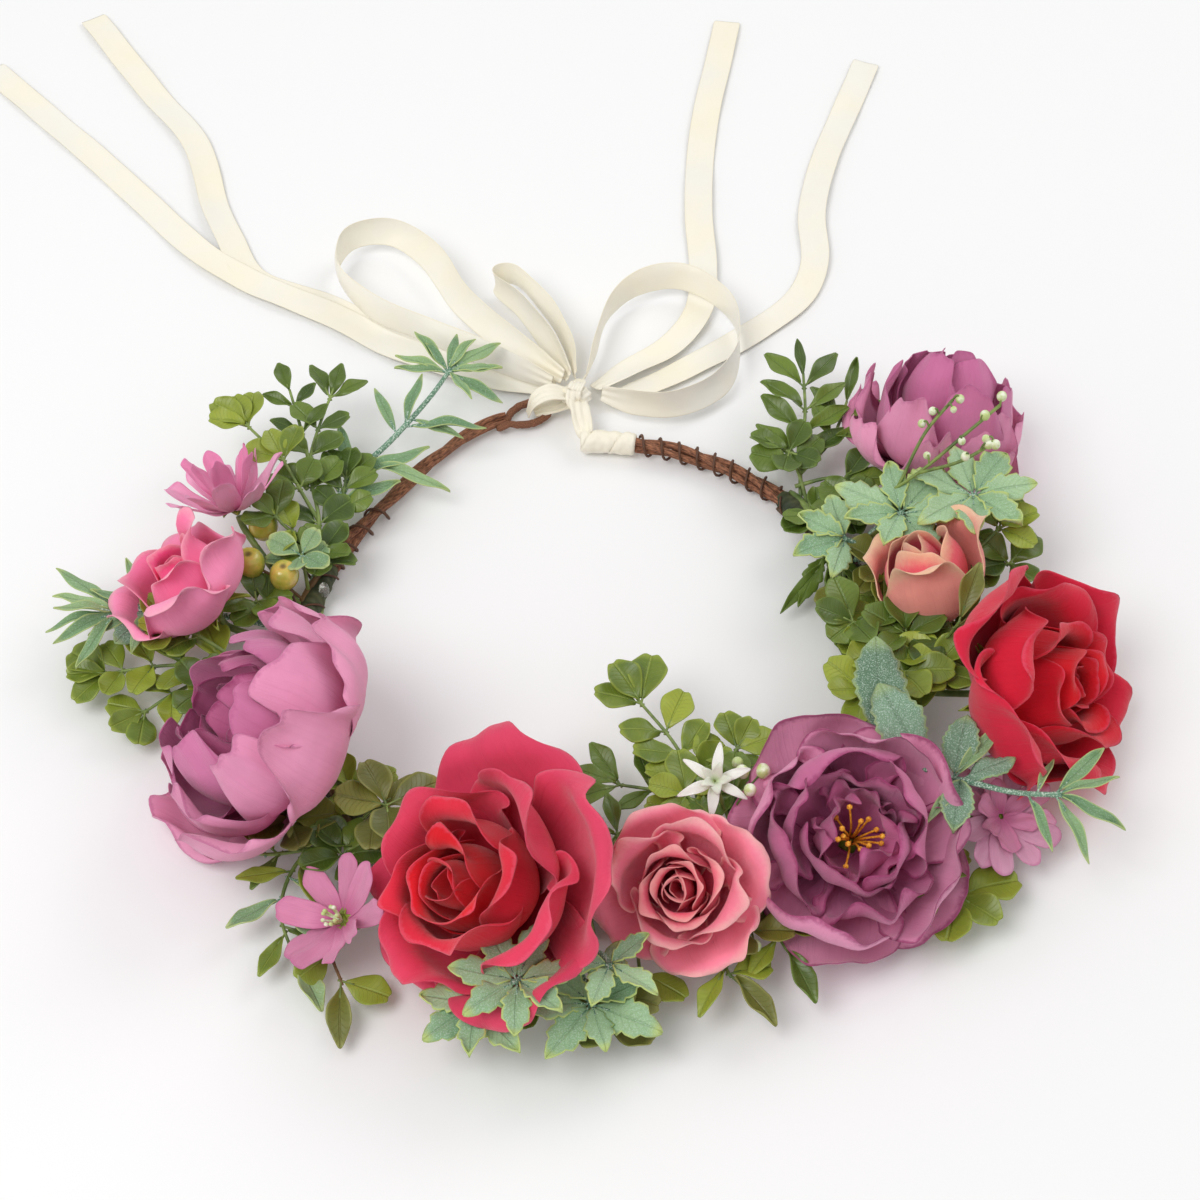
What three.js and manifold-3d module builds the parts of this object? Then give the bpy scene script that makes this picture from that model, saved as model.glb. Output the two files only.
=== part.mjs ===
// A flower crown: twisted vine strands bound with floral tape, silk flower heads on bent wire
// stems, moulded leaf sprigs, and a satin ribbon that ties the two ends together at the back.
// Millimetres, +Z up. The crown lies flat: the underside of the tape is the plane z = 0, +Y is
// the back, where the ribbon is tied, and the origin is under the middle of the crown.

import * as THREE from 'three';
import { mergeVertices } from 'three/addons/utils/BufferGeometryUtils.js';
import Module from 'manifold-3d';

const wasm = await Module();
wasm.setup();

// ---------------------------------------------------------------- driving sizes
const RING_RADIUS = 90;          // centre line of the vine bundle
const RING_CENTRE = new THREE.Vector2(0.2, -18.8);   // where the ring's middle is, from the origin
const RIGHT_END = 91;            // degrees, anticlockwise from +X
const LEFT_END = -254.5;         // the same way round, going clockwise from the right end
const LEFT_FLARE = 14;           // how far the left end springs outwards
const FLARE_SPAN = 36;           // degrees of arc that the flare takes

const STRAND_RADIUS = 1.15;
const STRAND_COUNT = 3;
const STRAND_SPACE = 0.5;        // air between neighbouring strands
const TWIST_PITCH = 62;          // arc length of one whole twist
const EYE_LENGTH = 15;           // the bent-wire eye at the left end
const EYE_WIDTH = 9;

const TAPE_WALL = 1.3;
const TAPE_START = 46;           // degrees
const TAPE_END = -203;
const TAPE_STEPS = 24;
const FIT_GAP = 0.35;            // clearance between pieces that sit in or on each other

const BINDING_RADIUS = 0.5;
const BINDING_PITCH = 6.2;
const BINDING_START = 67;
const BINDING_END = 48;

const STEM_RADIUS = 1.1;         // flower stem wire with its plastic sleeve
const SPRIG_RADIUS = 0.8;
const SOCKET_WALL = 0.9;         // tape wound round the foot of a stem
const SOCKET_LENGTH = 3.5;
const PEG_RADIUS = 1.3;          // top of a stem, through the petal layers
const PETAL_WALL = 1.2;
const LEAF_THICKNESS = 0.6;

const LEAF_SINK = 0.06;          // share of a leaf's length that is inside its stem

const RIBBON_WIDTH = 10;
const RIBBON_THICKNESS = 0.6;
const WRAP_WALL = 1.1;
const WRAP_SPAN = 9;             // degrees of arc under the ribbon at the right end
const GATHER_RADIUS = 1.9;       // ribbon gathered into a cord
const KNOT_BEHIND = 18;          // the knot's middle, behind the ring's centre line
const KNOT_HEIGHT = 7;
const LOOP_UNDERSIDE = 4;        // lower edge of the loops, which stand on their edges

// How finely the faceted solids are cut.
const MERGE_DISTANCE = 1e-3;
const STRAND_SIDES = 5;
const STRAND_STEP = 11.8;        // arc length
const EYE_STEPS = 14;
const STEM_SIDES = 5;
const SPRIG_SIDES = 4;
const STEM_STEPS = 5;
const SPRIG_STEPS = 6;
const COIL_STEPS = 44;
const TAIL_STEPS = 18;
const LOOP_STEPS = 15;

// ---------------------------------------------------------------- sizes that follow
const STRAND_ORBIT = (STRAND_RADIUS + STRAND_SPACE / 2) / Math.sin(Math.PI / STRAND_COUNT);
const BUNDLE_RADIUS = STRAND_ORBIT + STRAND_RADIUS;
const TAPE_BORE = BUNDLE_RADIUS + FIT_GAP;
const TAPE_RADIUS = TAPE_BORE + TAPE_WALL;
const RING_HEIGHT = TAPE_RADIUS;
const FOOT_DISTANCE = TAPE_BORE + TAPE_WALL / 2;   // a stem's foot, from the ring's centre line
const STRAIGHT_FOOT = SOCKET_LENGTH + STEM_RADIUS + 0.4;   // a stem bends just past its socket
const LOOP_HEIGHT = LOOP_UNDERSIDE + RIBBON_WIDTH / 2;

const UP = new THREE.Vector3(0, 0, 1);
const radians = THREE.MathUtils.degToRad;

// ---------------------------------------------------------------- solids and their joins
function solid(geometry) {
  const bare = geometry.clone();
  bare.deleteAttribute('normal');
  bare.deleteAttribute('uv');
  const merged = mergeVertices(bare, MERGE_DISTANCE);
  return new wasm.Manifold(new wasm.Mesh({
    numProp: 3,
    vertProperties: new Float32Array(merged.attributes.position.array),
    triVerts: new Uint32Array(merged.index.array),
  }));
}

function geometryOf(manifold) {
  const mesh = manifold.getMesh();
  const geometry = new THREE.BufferGeometry();
  geometry.setAttribute('position', new THREE.BufferAttribute(mesh.vertProperties, 3));
  geometry.setIndex(new THREE.BufferAttribute(mesh.triVerts, 1));
  geometry.computeVertexNormals();
  return geometry;
}

function joined(geometries) {
  return geometries.map(solid).reduce((sum, piece) => sum.add(piece));
}

function piece(name, geometry, material) {
  const mesh = new THREE.Mesh(geometry, material);
  mesh.name = name;
  return mesh;
}

// ---------------------------------------------------------------- materials
function finish(colour, roughness, metalness = 0) {
  return new THREE.MeshStandardMaterial({ color: colour, roughness, metalness });
}

const vine = finish(0x6b4230, 0.85);
const bindingWire = finish(0x4f3526, 0.6);
const tape = finish(0x3e4f38, 0.75);
const stemGreen = finish(0x6f8f45, 0.55);
const satin = finish(0xf4efdd, 0.35);
const mauve = finish(0xc983ad, 0.8);
const mauveDeep = finish(0xa8638f, 0.8);
const red = finish(0xd8263f, 0.8);
const redDeep = finish(0xc01730, 0.8);
const hotPink = finish(0xf56a9c, 0.8);
const coral = finish(0xee7d8e, 0.8);
const peach = finish(0xf3b9a2, 0.8);
const daisyPink = finish(0xe08fb6, 0.8);
const white = finish(0xf2f3e6, 0.6);
const stamenYellow = finish(0xe29a2b, 0.6);
const boxwood = finish(0x7c9434, 0.4);
const dusty = finish(0x7fa287, 0.7);
const frosted = finish(0xa5c8a2, 0.85);
const darkLeaf = finish(0x4e6b45, 0.5);
const berryGreen = finish(0xb5ae4f, 0.35);

// ---------------------------------------------------------------- the ring's centre line
function ringRadiusAt(angle) {
  const along = THREE.MathUtils.clamp((LEFT_END + FLARE_SPAN - angle) / FLARE_SPAN, 0, 1);
  return RING_RADIUS + LEFT_FLARE * along * along * (3 - 2 * along);
}

function outwardAt(angle) {
  return new THREE.Vector3(Math.cos(radians(angle)), Math.sin(radians(angle)), 0);
}

// A point by its angle round the ring, how far outside the vine it is, and its height.
function place(angle, out, height) {
  const point = outwardAt(angle).multiplyScalar(ringRadiusAt(angle) + out);
  return new THREE.Vector3(point.x + RING_CENTRE.x, point.y + RING_CENTRE.y, height);
}

class RingLine extends THREE.Curve {
  constructor(from, to) {
    super();
    this.from = from;
    this.to = to;
  }

  getPoint(t) {
    return place(THREE.MathUtils.lerp(this.from, this.to, t), 0, RING_HEIGHT);
  }
}

// A line that winds round the ring's centre line.
class WoundLine extends RingLine {
  constructor(from, to, orbit, pitch, phase) {
    super(from, to);
    this.orbit = orbit;
    this.pitch = pitch;
    this.phase = phase;
  }

  getPoint(t) {
    const angle = THREE.MathUtils.lerp(this.from, this.to, t);
    const run = radians(this.from - angle) * RING_RADIUS;
    const turn = this.phase + (2 * Math.PI * run) / this.pitch;
    return super.getPoint(t)
      .addScaledVector(outwardAt(angle), this.orbit * Math.cos(turn))
      .addScaledVector(UP, this.orbit * Math.sin(turn));
  }
}

// ---------------------------------------------------------------- tubes, sleeves and bands
function polygon(radius, sides, turn = 0) {
  const corners = [];
  for (let i = 0; i < sides; i += 1) {
    const a = turn + (2 * Math.PI * i) / sides;
    corners.push(new THREE.Vector2(radius * Math.cos(a), radius * Math.sin(a)));
  }
  return corners;
}

function tube(curve, radius, sides, steps) {
  const section = new THREE.Shape(polygon(radius, sides));
  return new THREE.ExtrudeGeometry(section, { steps, extrudePath: curve });
}

function smooth(points) {
  return new THREE.CatmullRomCurve3(points, false, 'centripetal');
}

// An octagon that stands on a flat side, with its flats at the given distance.
const FLAT_TO_CORNER = 1 / Math.cos(Math.PI / 8);
const octagon = (flatDistance) => polygon(flatDistance * FLAT_TO_CORNER, 8, Math.PI / 8);

// An eight-sided sleeve along a curve in the plane of the ring, with a flat underside.
function sleeve(curve, bore, wall, steps) {
  const section = new THREE.Shape(octagon(bore + wall));
  section.holes.push(new THREE.Path(octagon(bore)));
  return new THREE.ExtrudeGeometry(section, { steps, extrudePath: curve });
}

// A flat band along a level curve: tall is its size upwards and wide its size across.
function band(points, tall, wide, steps) {
  const bevel = Math.min(tall, wide) * 0.3;
  const h = tall / 2;
  const w = wide / 2;
  const section = new THREE.Shape([
    new THREE.Vector2(h, w - bevel), new THREE.Vector2(h - bevel, w),
    new THREE.Vector2(bevel - h, w), new THREE.Vector2(-h, w - bevel),
    new THREE.Vector2(-h, bevel - w), new THREE.Vector2(bevel - h, -w),
    new THREE.Vector2(h - bevel, -w), new THREE.Vector2(h, bevel - w),
  ]);
  return new THREE.ExtrudeGeometry(section, { steps, extrudePath: smooth(points) });
}

// ---------------------------------------------------------------- stems and their feet
const feet = [];

function rod(start, direction, radius, from, to, sides) {
  const length = to - from;
  const geometry = new THREE.CylinderGeometry(radius, radius, length, sides);
  geometry.applyQuaternion(new THREE.Quaternion().setFromUnitVectors(
    new THREE.Vector3(0, 1, 0), direction));
  const middle = start.clone().addScaledVector(direction, from + length / 2);
  return geometry.translate(middle.x, middle.y, middle.z);
}

// A stem whose straight foot sits in the tape and whose upper part bends through the route.
// rise is the foot's slope, and side is 1 for a stem outside the ring and -1 for one inside it.
function stem(item, radius, sides, route, steps) {
  const direction = outwardAt(item.foot).multiplyScalar((item.side ?? 1) * Math.cos(radians(item.rise)));
  direction.addScaledVector(UP, Math.sin(radians(item.rise)));
  const start = place(item.foot, 0, RING_HEIGHT).addScaledVector(direction, FOOT_DISTANCE);
  feet.push({ start, direction, radius, sides });
  const bend = start.clone().addScaledVector(direction, STRAIGHT_FOOT - radius);
  const path = smooth([bend, ...route]);
  const parts = [
    rod(start, direction, radius, 0, STRAIGHT_FOOT, sides),
    tube(path, radius, sides, steps),
  ];
  return { path, parts };
}

// ---------------------------------------------------------------- flower heads
// A head's own frame has its base at the origin and opens along +Z.
function headFrame(centre, heading, tilt, depth) {
  const axis = outwardAt(heading).multiplyScalar(Math.sin(radians(tilt)));
  axis.addScaledVector(UP, Math.cos(radians(tilt)));
  const turn = new THREE.Quaternion().setFromUnitVectors(UP, axis);
  const base = centre.clone().addScaledVector(axis, -depth / 2);
  return { axis, base, matrix: new THREE.Matrix4().compose(base, turn, new THREE.Vector3(1, 1, 1)) };
}

// A turned form whose rim is pushed in and out into a number of petals.
function petalled(profile, segments, petals, ruffle, reach, phase) {
  const geometry = new THREE.LatheGeometry(profile, segments);
  geometry.rotateX(Math.PI / 2);
  const p = geometry.attributes.position;
  for (let i = 0; i < p.count; i += 1) {
    const [x, y, z] = [p.getX(i), p.getY(i), p.getZ(i)];
    const swell = Math.cos(petals * Math.atan2(y, x) + phase) * (z / reach) ** 2;
    const scale = 1 + ruffle * swell;
    p.setXYZ(i, x * scale, y * scale, z * (1 + 0.6 * ruffle * swell));
  }
  return geometry;
}

const flat = (x, y) => new THREE.Vector2(x, y);

// An open cup of petals with a hole in its base for the peg.
function petalCup(radius, depth, from) {
  const hole = PEG_RADIUS + FIT_GAP;
  const w = PETAL_WALL;
  return [
    flat(hole, from), flat(0.32 * radius, from), flat(0.66 * radius, from + 0.2 * depth),
    flat(0.9 * radius, from + 0.55 * depth), flat(radius, from + depth),
    flat(radius - w, from + depth), flat(0.9 * radius - w, from + 0.55 * depth + 0.3 * w),
    flat(0.66 * radius - w, from + 0.2 * depth + w), flat(0.32 * radius, from + w),
    flat(hole, from + w), flat(hole, from),
  ];
}

// The furled heart, blind on the peg.
function heartProfile(radius, depth, from, pegTop) {
  const hole = PEG_RADIUS + FIT_GAP;
  return [
    flat(0, pegTop + FIT_GAP), flat(hole, pegTop + FIT_GAP), flat(hole, from),
    flat(0.26 * radius, from), flat(0.5 * radius, from + 0.3 * depth),
    flat(0.56 * radius, from + 0.75 * depth), flat(0.46 * radius, from + depth),
    flat(0.2 * radius, from + 1.05 * depth), flat(0, from + 0.9 * depth),
  ];
}

// A stem wire with its calyx and the peg that carries the petals.
function stemWithCalyx(flower, frame, pegTop, calyxRadius) {
  const calyx = new THREE.LatheGeometry([
    flat(0, -calyxRadius * 1.1), flat(STEM_RADIUS, -calyxRadius * 1.1),
    flat(calyxRadius * 0.7, -calyxRadius * 0.6), flat(calyxRadius, -FIT_GAP),
    flat(PEG_RADIUS, -FIT_GAP), flat(PEG_RADIUS, pegTop), flat(0, pegTop),
  ], 6);
  calyx.rotateX(Math.PI / 2).applyMatrix4(frame.matrix);
  const under = (distance) => frame.base.clone().addScaledVector(frame.axis, -distance);
  const route = [under(calyxRadius * 1.1 + 1.2), under(calyxRadius * 0.8)];
  const { parts } = stem({ rise: 35, ...flower }, STEM_RADIUS, STEM_SIDES, route, STEM_STEPS);
  return geometryOf(joined([...parts, calyx]));
}

function cupFlower(flower) {
  const { name, radius, depth, petals = 5, heart = 'furled' } = flower;
  const group = new THREE.Group();
  const centre = place(flower.angle, flower.out, flower.height);
  const frame = headFrame(centre, flower.heading, flower.tilt, depth);
  const heartFrom = PETAL_WALL + FIT_GAP;
  const pegTop = heartFrom + 4;
  const layer = (profile, segments, reach, phase) => geometryOf(solid(
    petalled(profile, segments, petals, 0.08, reach, phase).applyMatrix4(frame.matrix)));
  group.add(piece(`${name}_outer_petals`,
    layer(petalCup(radius, depth, 0), 3 * petals, depth, 0), flower.outer));
  if (heart === 'open') {
    const cup = petalCup(0.56 * radius, depth * 0.8, heartFrom);
    group.add(piece(`${name}_inner_petals`, layer(cup, 3 * petals, depth, 2), flower.inner));
    group.add(piece(`${name}_stamens`, stamens(frame, heartFrom + PETAL_WALL, pegTop, radius),
      stamenYellow));
  } else {
    const bud = heartProfile(radius, depth * 0.85, heartFrom, pegTop);
    group.add(piece(`${name}_inner_petals`, layer(bud, 12, depth, 2), flower.inner));
  }
  group.add(piece(`${name}_stem`, stemWithCalyx(flower, frame, pegTop, radius * 0.18), stemGreen));
  return group;
}

// A bud or a back-turned head: one furled body of petals on its stem.
function furledFlower(flower) {
  const { name, radius, depth, petals = 5 } = flower;
  const group = new THREE.Group();
  const centre = place(flower.angle, flower.out, flower.height);
  const frame = headFrame(centre, flower.heading, flower.tilt, depth);
  const pegTop = 5;
  const profile = [
    flat(0, pegTop + FIT_GAP), flat(PEG_RADIUS + FIT_GAP, pegTop + FIT_GAP),
    flat(PEG_RADIUS + FIT_GAP, 0), flat(0.35 * radius, 0), flat(0.82 * radius, 0.28 * depth),
    flat(0.98 * radius, 0.6 * depth), flat(radius, 0.92 * depth), flat(0.72 * radius, depth),
    flat(0.3 * radius, 0.9 * depth), flat(0, 0.8 * depth),
  ];
  const body = petalled(profile, 3 * petals, petals, 0.07, depth, 0).applyMatrix4(frame.matrix);
  group.add(piece(`${name}_petals`, geometryOf(solid(body)), flower.outer));
  group.add(piece(`${name}_stem`, stemWithCalyx(flower, frame, pegTop, radius * 0.3), stemGreen));
  return group;
}

// A ring of stamens that stands on a washer round the peg.
function stamens(frame, from, pegTop, radius) {
  const top = pegTop + FIT_GAP;
  const button = new THREE.LatheGeometry([
    flat(0, top), flat(PEG_RADIUS + FIT_GAP, top), flat(PEG_RADIUS + FIT_GAP, from + FIT_GAP),
    flat(0.12 * radius, from + FIT_GAP), flat(0.1 * radius, top + 2), flat(0, top + 2),
  ], 8).rotateX(Math.PI / 2);
  const threads = [];
  const count = 8;
  for (let i = 0; i < count; i += 1) {
    const spread = outwardAt((360 * i) / count).multiplyScalar(0.55).add(UP).normalize();
    const root = new THREE.Vector3(0, 0, top + 0.5).addScaledVector(outwardAt((360 * i) / count), 1);
    threads.push(rod(root, spread, 0.45, 0, 0.26 * radius, 4));
  }
  return geometryOf(joined([button, ...threads].map((g) => g.applyMatrix4(frame.matrix))));
}

// A daisy: one punched sheet of petals that rises into a shallow cone.
function daisy(flower) {
  const { name, radius, petals, cone } = flower;
  const group = new THREE.Group();
  const frame = headFrame(place(flower.angle, flower.out, flower.height),
    flower.heading, flower.tilt, cone);
  const outline = [];
  for (let i = 0; i < petals; i += 1) {
    for (const [share, reach] of [[0, 0.3], [0.28, 0.8], [0.5, 1], [0.72, 0.8]]) {
      const a = (2 * Math.PI * (i + share)) / petals;
      outline.push(flat(reach * radius * Math.cos(a), reach * radius * Math.sin(a)));
    }
  }
  const shape = new THREE.Shape(outline);
  shape.holes.push(new THREE.Path(polygon(PEG_RADIUS + FIT_GAP, 8)));
  const sheet = new THREE.ExtrudeGeometry(shape, { depth: 0.9, bevelEnabled: false });
  const p = sheet.attributes.position;
  for (let i = 0; i < p.count; i += 1) {
    p.setZ(i, p.getZ(i) + cone * (Math.hypot(p.getX(i), p.getY(i)) / radius) ** 2);
  }
  group.add(piece(`${name}_petals`, geometryOf(solid(sheet.applyMatrix4(frame.matrix))),
    flower.outer));
  group.add(piece(`${name}_stem`, stemWithCalyx(flower, frame, 2.5, 2.6), stemGreen));
  return group;
}

// ---------------------------------------------------------------- leaves and sprigs
function leafShape(kind, length, width) {
  const w = width / 2;
  const outlines = {
    notched: [[0, -LEAF_SINK], [1, 0.62], [0.5, 1], [0, 0.9]],
    slender: [[0, -LEAF_SINK], [1, 0.45], [0, 1]],
    toothed: [[0, -LEAF_SINK], [0.85, 0.35], [1, 0.6], [0, 1]],
  };
  const half = outlines[kind].map(([x, y]) => [x * w, y * length]);
  const mirrored = half.filter(([x]) => x > 0).reverse().map(([x, y]) => [-x, y]);
  return new THREE.Shape([...half, ...mirrored].map(([x, y]) => flat(x, y)));
}

// A leaf from a point, along a direction, with its face as near upwards as it can be.
function leaf(kind, at, direction, length, width) {
  const geometry = new THREE.ExtrudeGeometry(leafShape(kind, length, width),
    { depth: LEAF_THICKNESS, bevelEnabled: false });
  geometry.translate(0, 0, -LEAF_THICKNESS / 2);
  const along = direction.clone().normalize();
  const across = along.clone().cross(UP).normalize();
  const face = across.clone().cross(along);
  const matrix = new THREE.Matrix4().makeBasis(across, along, face).setPosition(at);
  return geometry.applyMatrix4(matrix);
}

// A sprig is a stem through its points, pairs of leaves along it and a fan of leaves at its tip.
function sprig(item) {
  const route = item.route.map((spot) => place(...spot));
  const { path, parts } = stem({ rise: 30, ...item }, SPRIG_RADIUS, SPRIG_SIDES, route, SPRIG_STEPS);
  const { kind, length, width } = item.leaf;
  for (const t of item.pairs) {
    const at = path.getPointAt(t);
    const forward = path.getTangentAt(t);
    const across = forward.clone().cross(UP).normalize();
    for (const hand of [-1, 1]) {
      const direction = forward.clone().multiplyScalar(0.6).addScaledVector(across, hand);
      direction.z += 0.25;
      parts.push(leaf(kind, at, direction, length, width));
    }
  }
  const fan = item.fan ?? 1;
  for (let i = 0; i < fan; i += 1) {
    const spread = fan > 1 ? radians(item.spread ?? 75) * ((2 * i) / (fan - 1) - 1) : 0;
    const direction = path.getTangentAt(1).applyAxisAngle(UP, spread);
    parts.push(leaf(kind, path.getPointAt(0.985), direction, length * 1.1, width * 1.1));
  }
  for (const branch of item.branches ?? []) {
    const from = path.getPointAt(branch.at);
    const twig = smooth([from, ...branch.route.map((spot) => place(...spot))]);
    parts.push(tube(twig, SPRIG_RADIUS * 0.9, SPRIG_SIDES, 3));
    for (let i = 0; i < branch.fan; i += 1) {
      const spread = radians(branch.spread ?? 75) * ((2 * i) / Math.max(branch.fan - 1, 1) - 1);
      const direction = twig.getTangentAt(1).applyAxisAngle(UP, branch.fan > 1 ? spread : 0);
      parts.push(leaf(kind, twig.getPointAt(0.97), direction, length, width));
    }
  }
  return piece(item.name, geometryOf(joined(parts)), item.material);
}

// Little balls on thin stalks, all on one wire.
function balls(item) {
  const route = item.route.map((spot) => place(...spot));
  const { path, parts } = stem(item, SPRIG_RADIUS, SPRIG_SIDES, route, SPRIG_STEPS - 1);
  for (const [t, ...spot] of item.balls) {
    const centre = place(...spot);
    const stalk = new THREE.LineCurve3(path.getPointAt(t), centre);
    parts.push(tube(stalk, SPRIG_RADIUS * 0.8, SPRIG_SIDES, 1));
    const ball = new THREE.SphereGeometry(item.ball, 6, 4);
    parts.push(ball.translate(centre.x, centre.y, centre.z));
  }
  for (const star of item.stars ?? []) {
    parts.push(starFlower(place(...star.at), star.heading, star.tilt, star.radius));
  }
  return piece(item.name, geometryOf(joined(parts)), item.material);
}

function starFlower(centre, heading, tilt, radius) {
  const outline = [];
  for (let i = 0; i < 12; i += 1) {
    const a = (Math.PI * i) / 6;
    const reach = i % 2 ? 0.32 * radius : radius;
    outline.push(flat(reach * Math.cos(a), reach * Math.sin(a)));
  }
  const star = new THREE.ExtrudeGeometry(new THREE.Shape(outline),
    { depth: 1.4, bevelEnabled: false });
  return star.applyMatrix4(headFrame(centre, heading, tilt, 1.4).matrix);
}

// ---------------------------------------------------------------- what is on the crown
// angle, out and height give the middle of a head; heading and tilt give the way it faces.
const cupFlowers = [
  { name: 'left_peony', foot: -154, rise: 62, angle: -155, out: 15, height: 32, heading: 165, tilt: 34,
    radius: 30, depth: 30, outer: mauve, inner: mauveDeep },
  { name: 'left_pink_rose', foot: -183, angle: -187, out: 34, height: 23, heading: 160, tilt: 34,
    radius: 19, depth: 20, outer: hotPink, inner: hotPink },
  { name: 'front_red_rose', foot: -105, rise: 85, angle: -107, out: 11, height: 32, heading: 222, tilt: 36,
    radius: 31, depth: 28, outer: red, inner: redDeep },
  { name: 'front_coral_rose', foot: -75, rise: 72, angle: -74, out: 11, height: 28, heading: -95, tilt: 34,
    radius: 20, depth: 22, outer: peach, inner: coral },
  { name: 'front_right_peony', foot: -46, rise: 60, angle: -46, out: 19, height: 28, heading: -70, tilt: 34,
    radius: 28, depth: 26, outer: mauve, inner: mauveDeep, heart: 'open' },
  { name: 'right_red_rose', foot: -7, angle: -10, out: 42, height: 28, heading: -32, tilt: 40,
    radius: 28, depth: 28, outer: red, inner: redDeep },
];

const furledFlowers = [
  { name: 'right_rosebud', foot: 6.5, rise: 40, angle: 8, out: 14, height: 25, heading: 95, tilt: 30,
    radius: 14, depth: 25, outer: coral },
  { name: 'back_right_peony', foot: 36, angle: 38, out: 47, height: 27, heading: 70, tilt: 42,
    radius: 24, depth: 30, outer: mauve },
];

const daisies = [
  { name: 'back_left_daisy', foot: -191, angle: -202, out: 31, height: 24, heading: 112, tilt: 40,
    radius: 16, petals: 9, cone: 9, outer: daisyPink },
  { name: 'front_left_daisy', foot: -124, angle: -126, out: 33, height: 15, heading: -125, tilt: 30,
    radius: 16, petals: 7, cone: 5, outer: daisyPink },
  { name: 'right_daisy', foot: -29, angle: -29, out: 46, height: 12, heading: -30, tilt: 25,
    radius: 15, petals: 10, cone: 4, outer: daisyPink },
];

const notched = { kind: 'notched', length: 9, width: 7.5 };
const slender = { kind: 'slender', length: 14, width: 3.4 };
const toothed = { kind: 'toothed', length: 12, width: 7 };

// A route's spots are [angle, out, height], as place takes them.
const sprigs = [
  { name: 'boxwood_sprig_back_right', foot: 42.5, route: [[50, 22, 14], [56, 34, 16], [59, 44, 17]],
    pairs: [0.42, 0.62, 0.82], leaf: notched, material: boxwood },
  { name: 'drooping_leaf_sprig', foot: 30, side: -1, route: [[26, -15, 8], [20, -18, 7]],
    pairs: [0.7], leaf: { kind: 'toothed', length: 16, width: 7 }, material: darkLeaf },
  { name: 'frosted_sprig_back_right', foot: 24, rise: 50, route: [[22, 16, 22], [20, 26, 32]],
    pairs: [], fan: 5, spread: 140, leaf: toothed, material: frosted,
    branches: [{ at: 0.8, route: [[19, 32, 31], [19, 42, 31]], fan: 3, spread: 70 }] },
  { name: 'boxwood_sprig_right', foot: 1, side: -1, rise: 70, route: [[0, -2, 20], [-3, 2, 24]],
    pairs: [0.7], leaf: notched, material: boxwood },
  { name: 'frosted_leaves_right', foot: -17, side: -1, rise: 75, route: [[-19, 0, 28], [-20, 2, 38]],
    pairs: [0.72], fan: 1, leaf: { kind: 'toothed', length: 15, width: 9 }, material: frosted },
  { name: 'frosted_sprig_right', foot: -24, route: [[-25, 18, 17], [-29, 40, 25], [-26, 63, 25]],
    pairs: [0.62], fan: 3, spread: 60, leaf: slender, material: frosted },
  { name: 'boxwood_sprig_front_right', foot: -33.5, route: [[-37, 30, 8], [-39, 48, 7]],
    pairs: [0.8], leaf: notched, material: boxwood },
  { name: 'boxwood_sprig_front', foot: -66, side: -1, route: [[-62, -26, 17], [-56, -42, 24]],
    pairs: [0.55, 0.8], leaf: notched, material: boxwood },
  { name: 'frosted_sprig_front', foot: -90, rise: 15, route: [[-92, 24, 6], [-97, 38, 8]],
    pairs: [], fan: 5, spread: 120, leaf: toothed, material: frosted,
    branches: [{ at: 0.7, route: [[-90, 36, 6], [-88, 44, 6]], fan: 4, spread: 90 }] },
  { name: 'leaf_sprig_front_left', foot: -137, rise: 20, route: [[-138, 28, 7], [-138, 46, 7]],
    pairs: [0.6, 0.8], leaf: slender, material: darkLeaf },
  { name: 'boxwood_sprig_left', foot: -172, rise: 20, route: [[-174, 30, 7], [-176, 50, 8]],
    pairs: [0.6, 0.85], leaf: notched, material: boxwood },
  { name: 'frosted_sprig_left', foot: -187, rise: 15, route: [[-187, 30, 5], [-186, 60, 8]],
    pairs: [0.8], fan: 3, spread: 45, leaf: slender, material: frosted },
  { name: 'boxwood_sprig_back_left', foot: -201.5, rise: 30, route: [[-209, 16, 15], [-224, 32, 20],
    [-229, 44, 22]], pairs: [0.4, 0.58, 0.76, 0.9], leaf: notched, material: boxwood },
  { name: 'dusty_sprig_back_left', foot: -197.5, rise: 65, route: [[-209, 9, 18], [-232, 9, 20],
    [-245, 14, 22]], pairs: [0.55, 0.75], fan: 5, spread: 75, leaf: slender, material: dusty },
];

const ballSprigs = [
  { name: 'berry_sprig', foot: -193.5, rise: 55, ball: 4, material: berryGreen,
    route: [[-196, 6, 17], [-199, 14, 17]],
    balls: [[0.98, -200, 20, 17], [0.7, -193, 8, 20]] },
  { name: 'bud_spray_right', foot: 39.5, rise: 60, ball: 1.6, material: stemGreen,
    route: [[33, 14, 28], [31, 24, 42]],
    balls: [[0.98, 31, 27, 46], [0.8, 28, 22, 40]] },
  { name: 'white_star_sprig', foot: -58, side: -1, rise: 60, ball: 1.8, material: white,
    route: [[-59, -8, 22], [-62, -13, 27]],
    balls: [[0.85, -55, -16, 27], [0.7, -54, -12, 24]],
    stars: [{ at: [-62, -13, 27.2], heading: -90, tilt: 15, radius: 10 }] },
];

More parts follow.
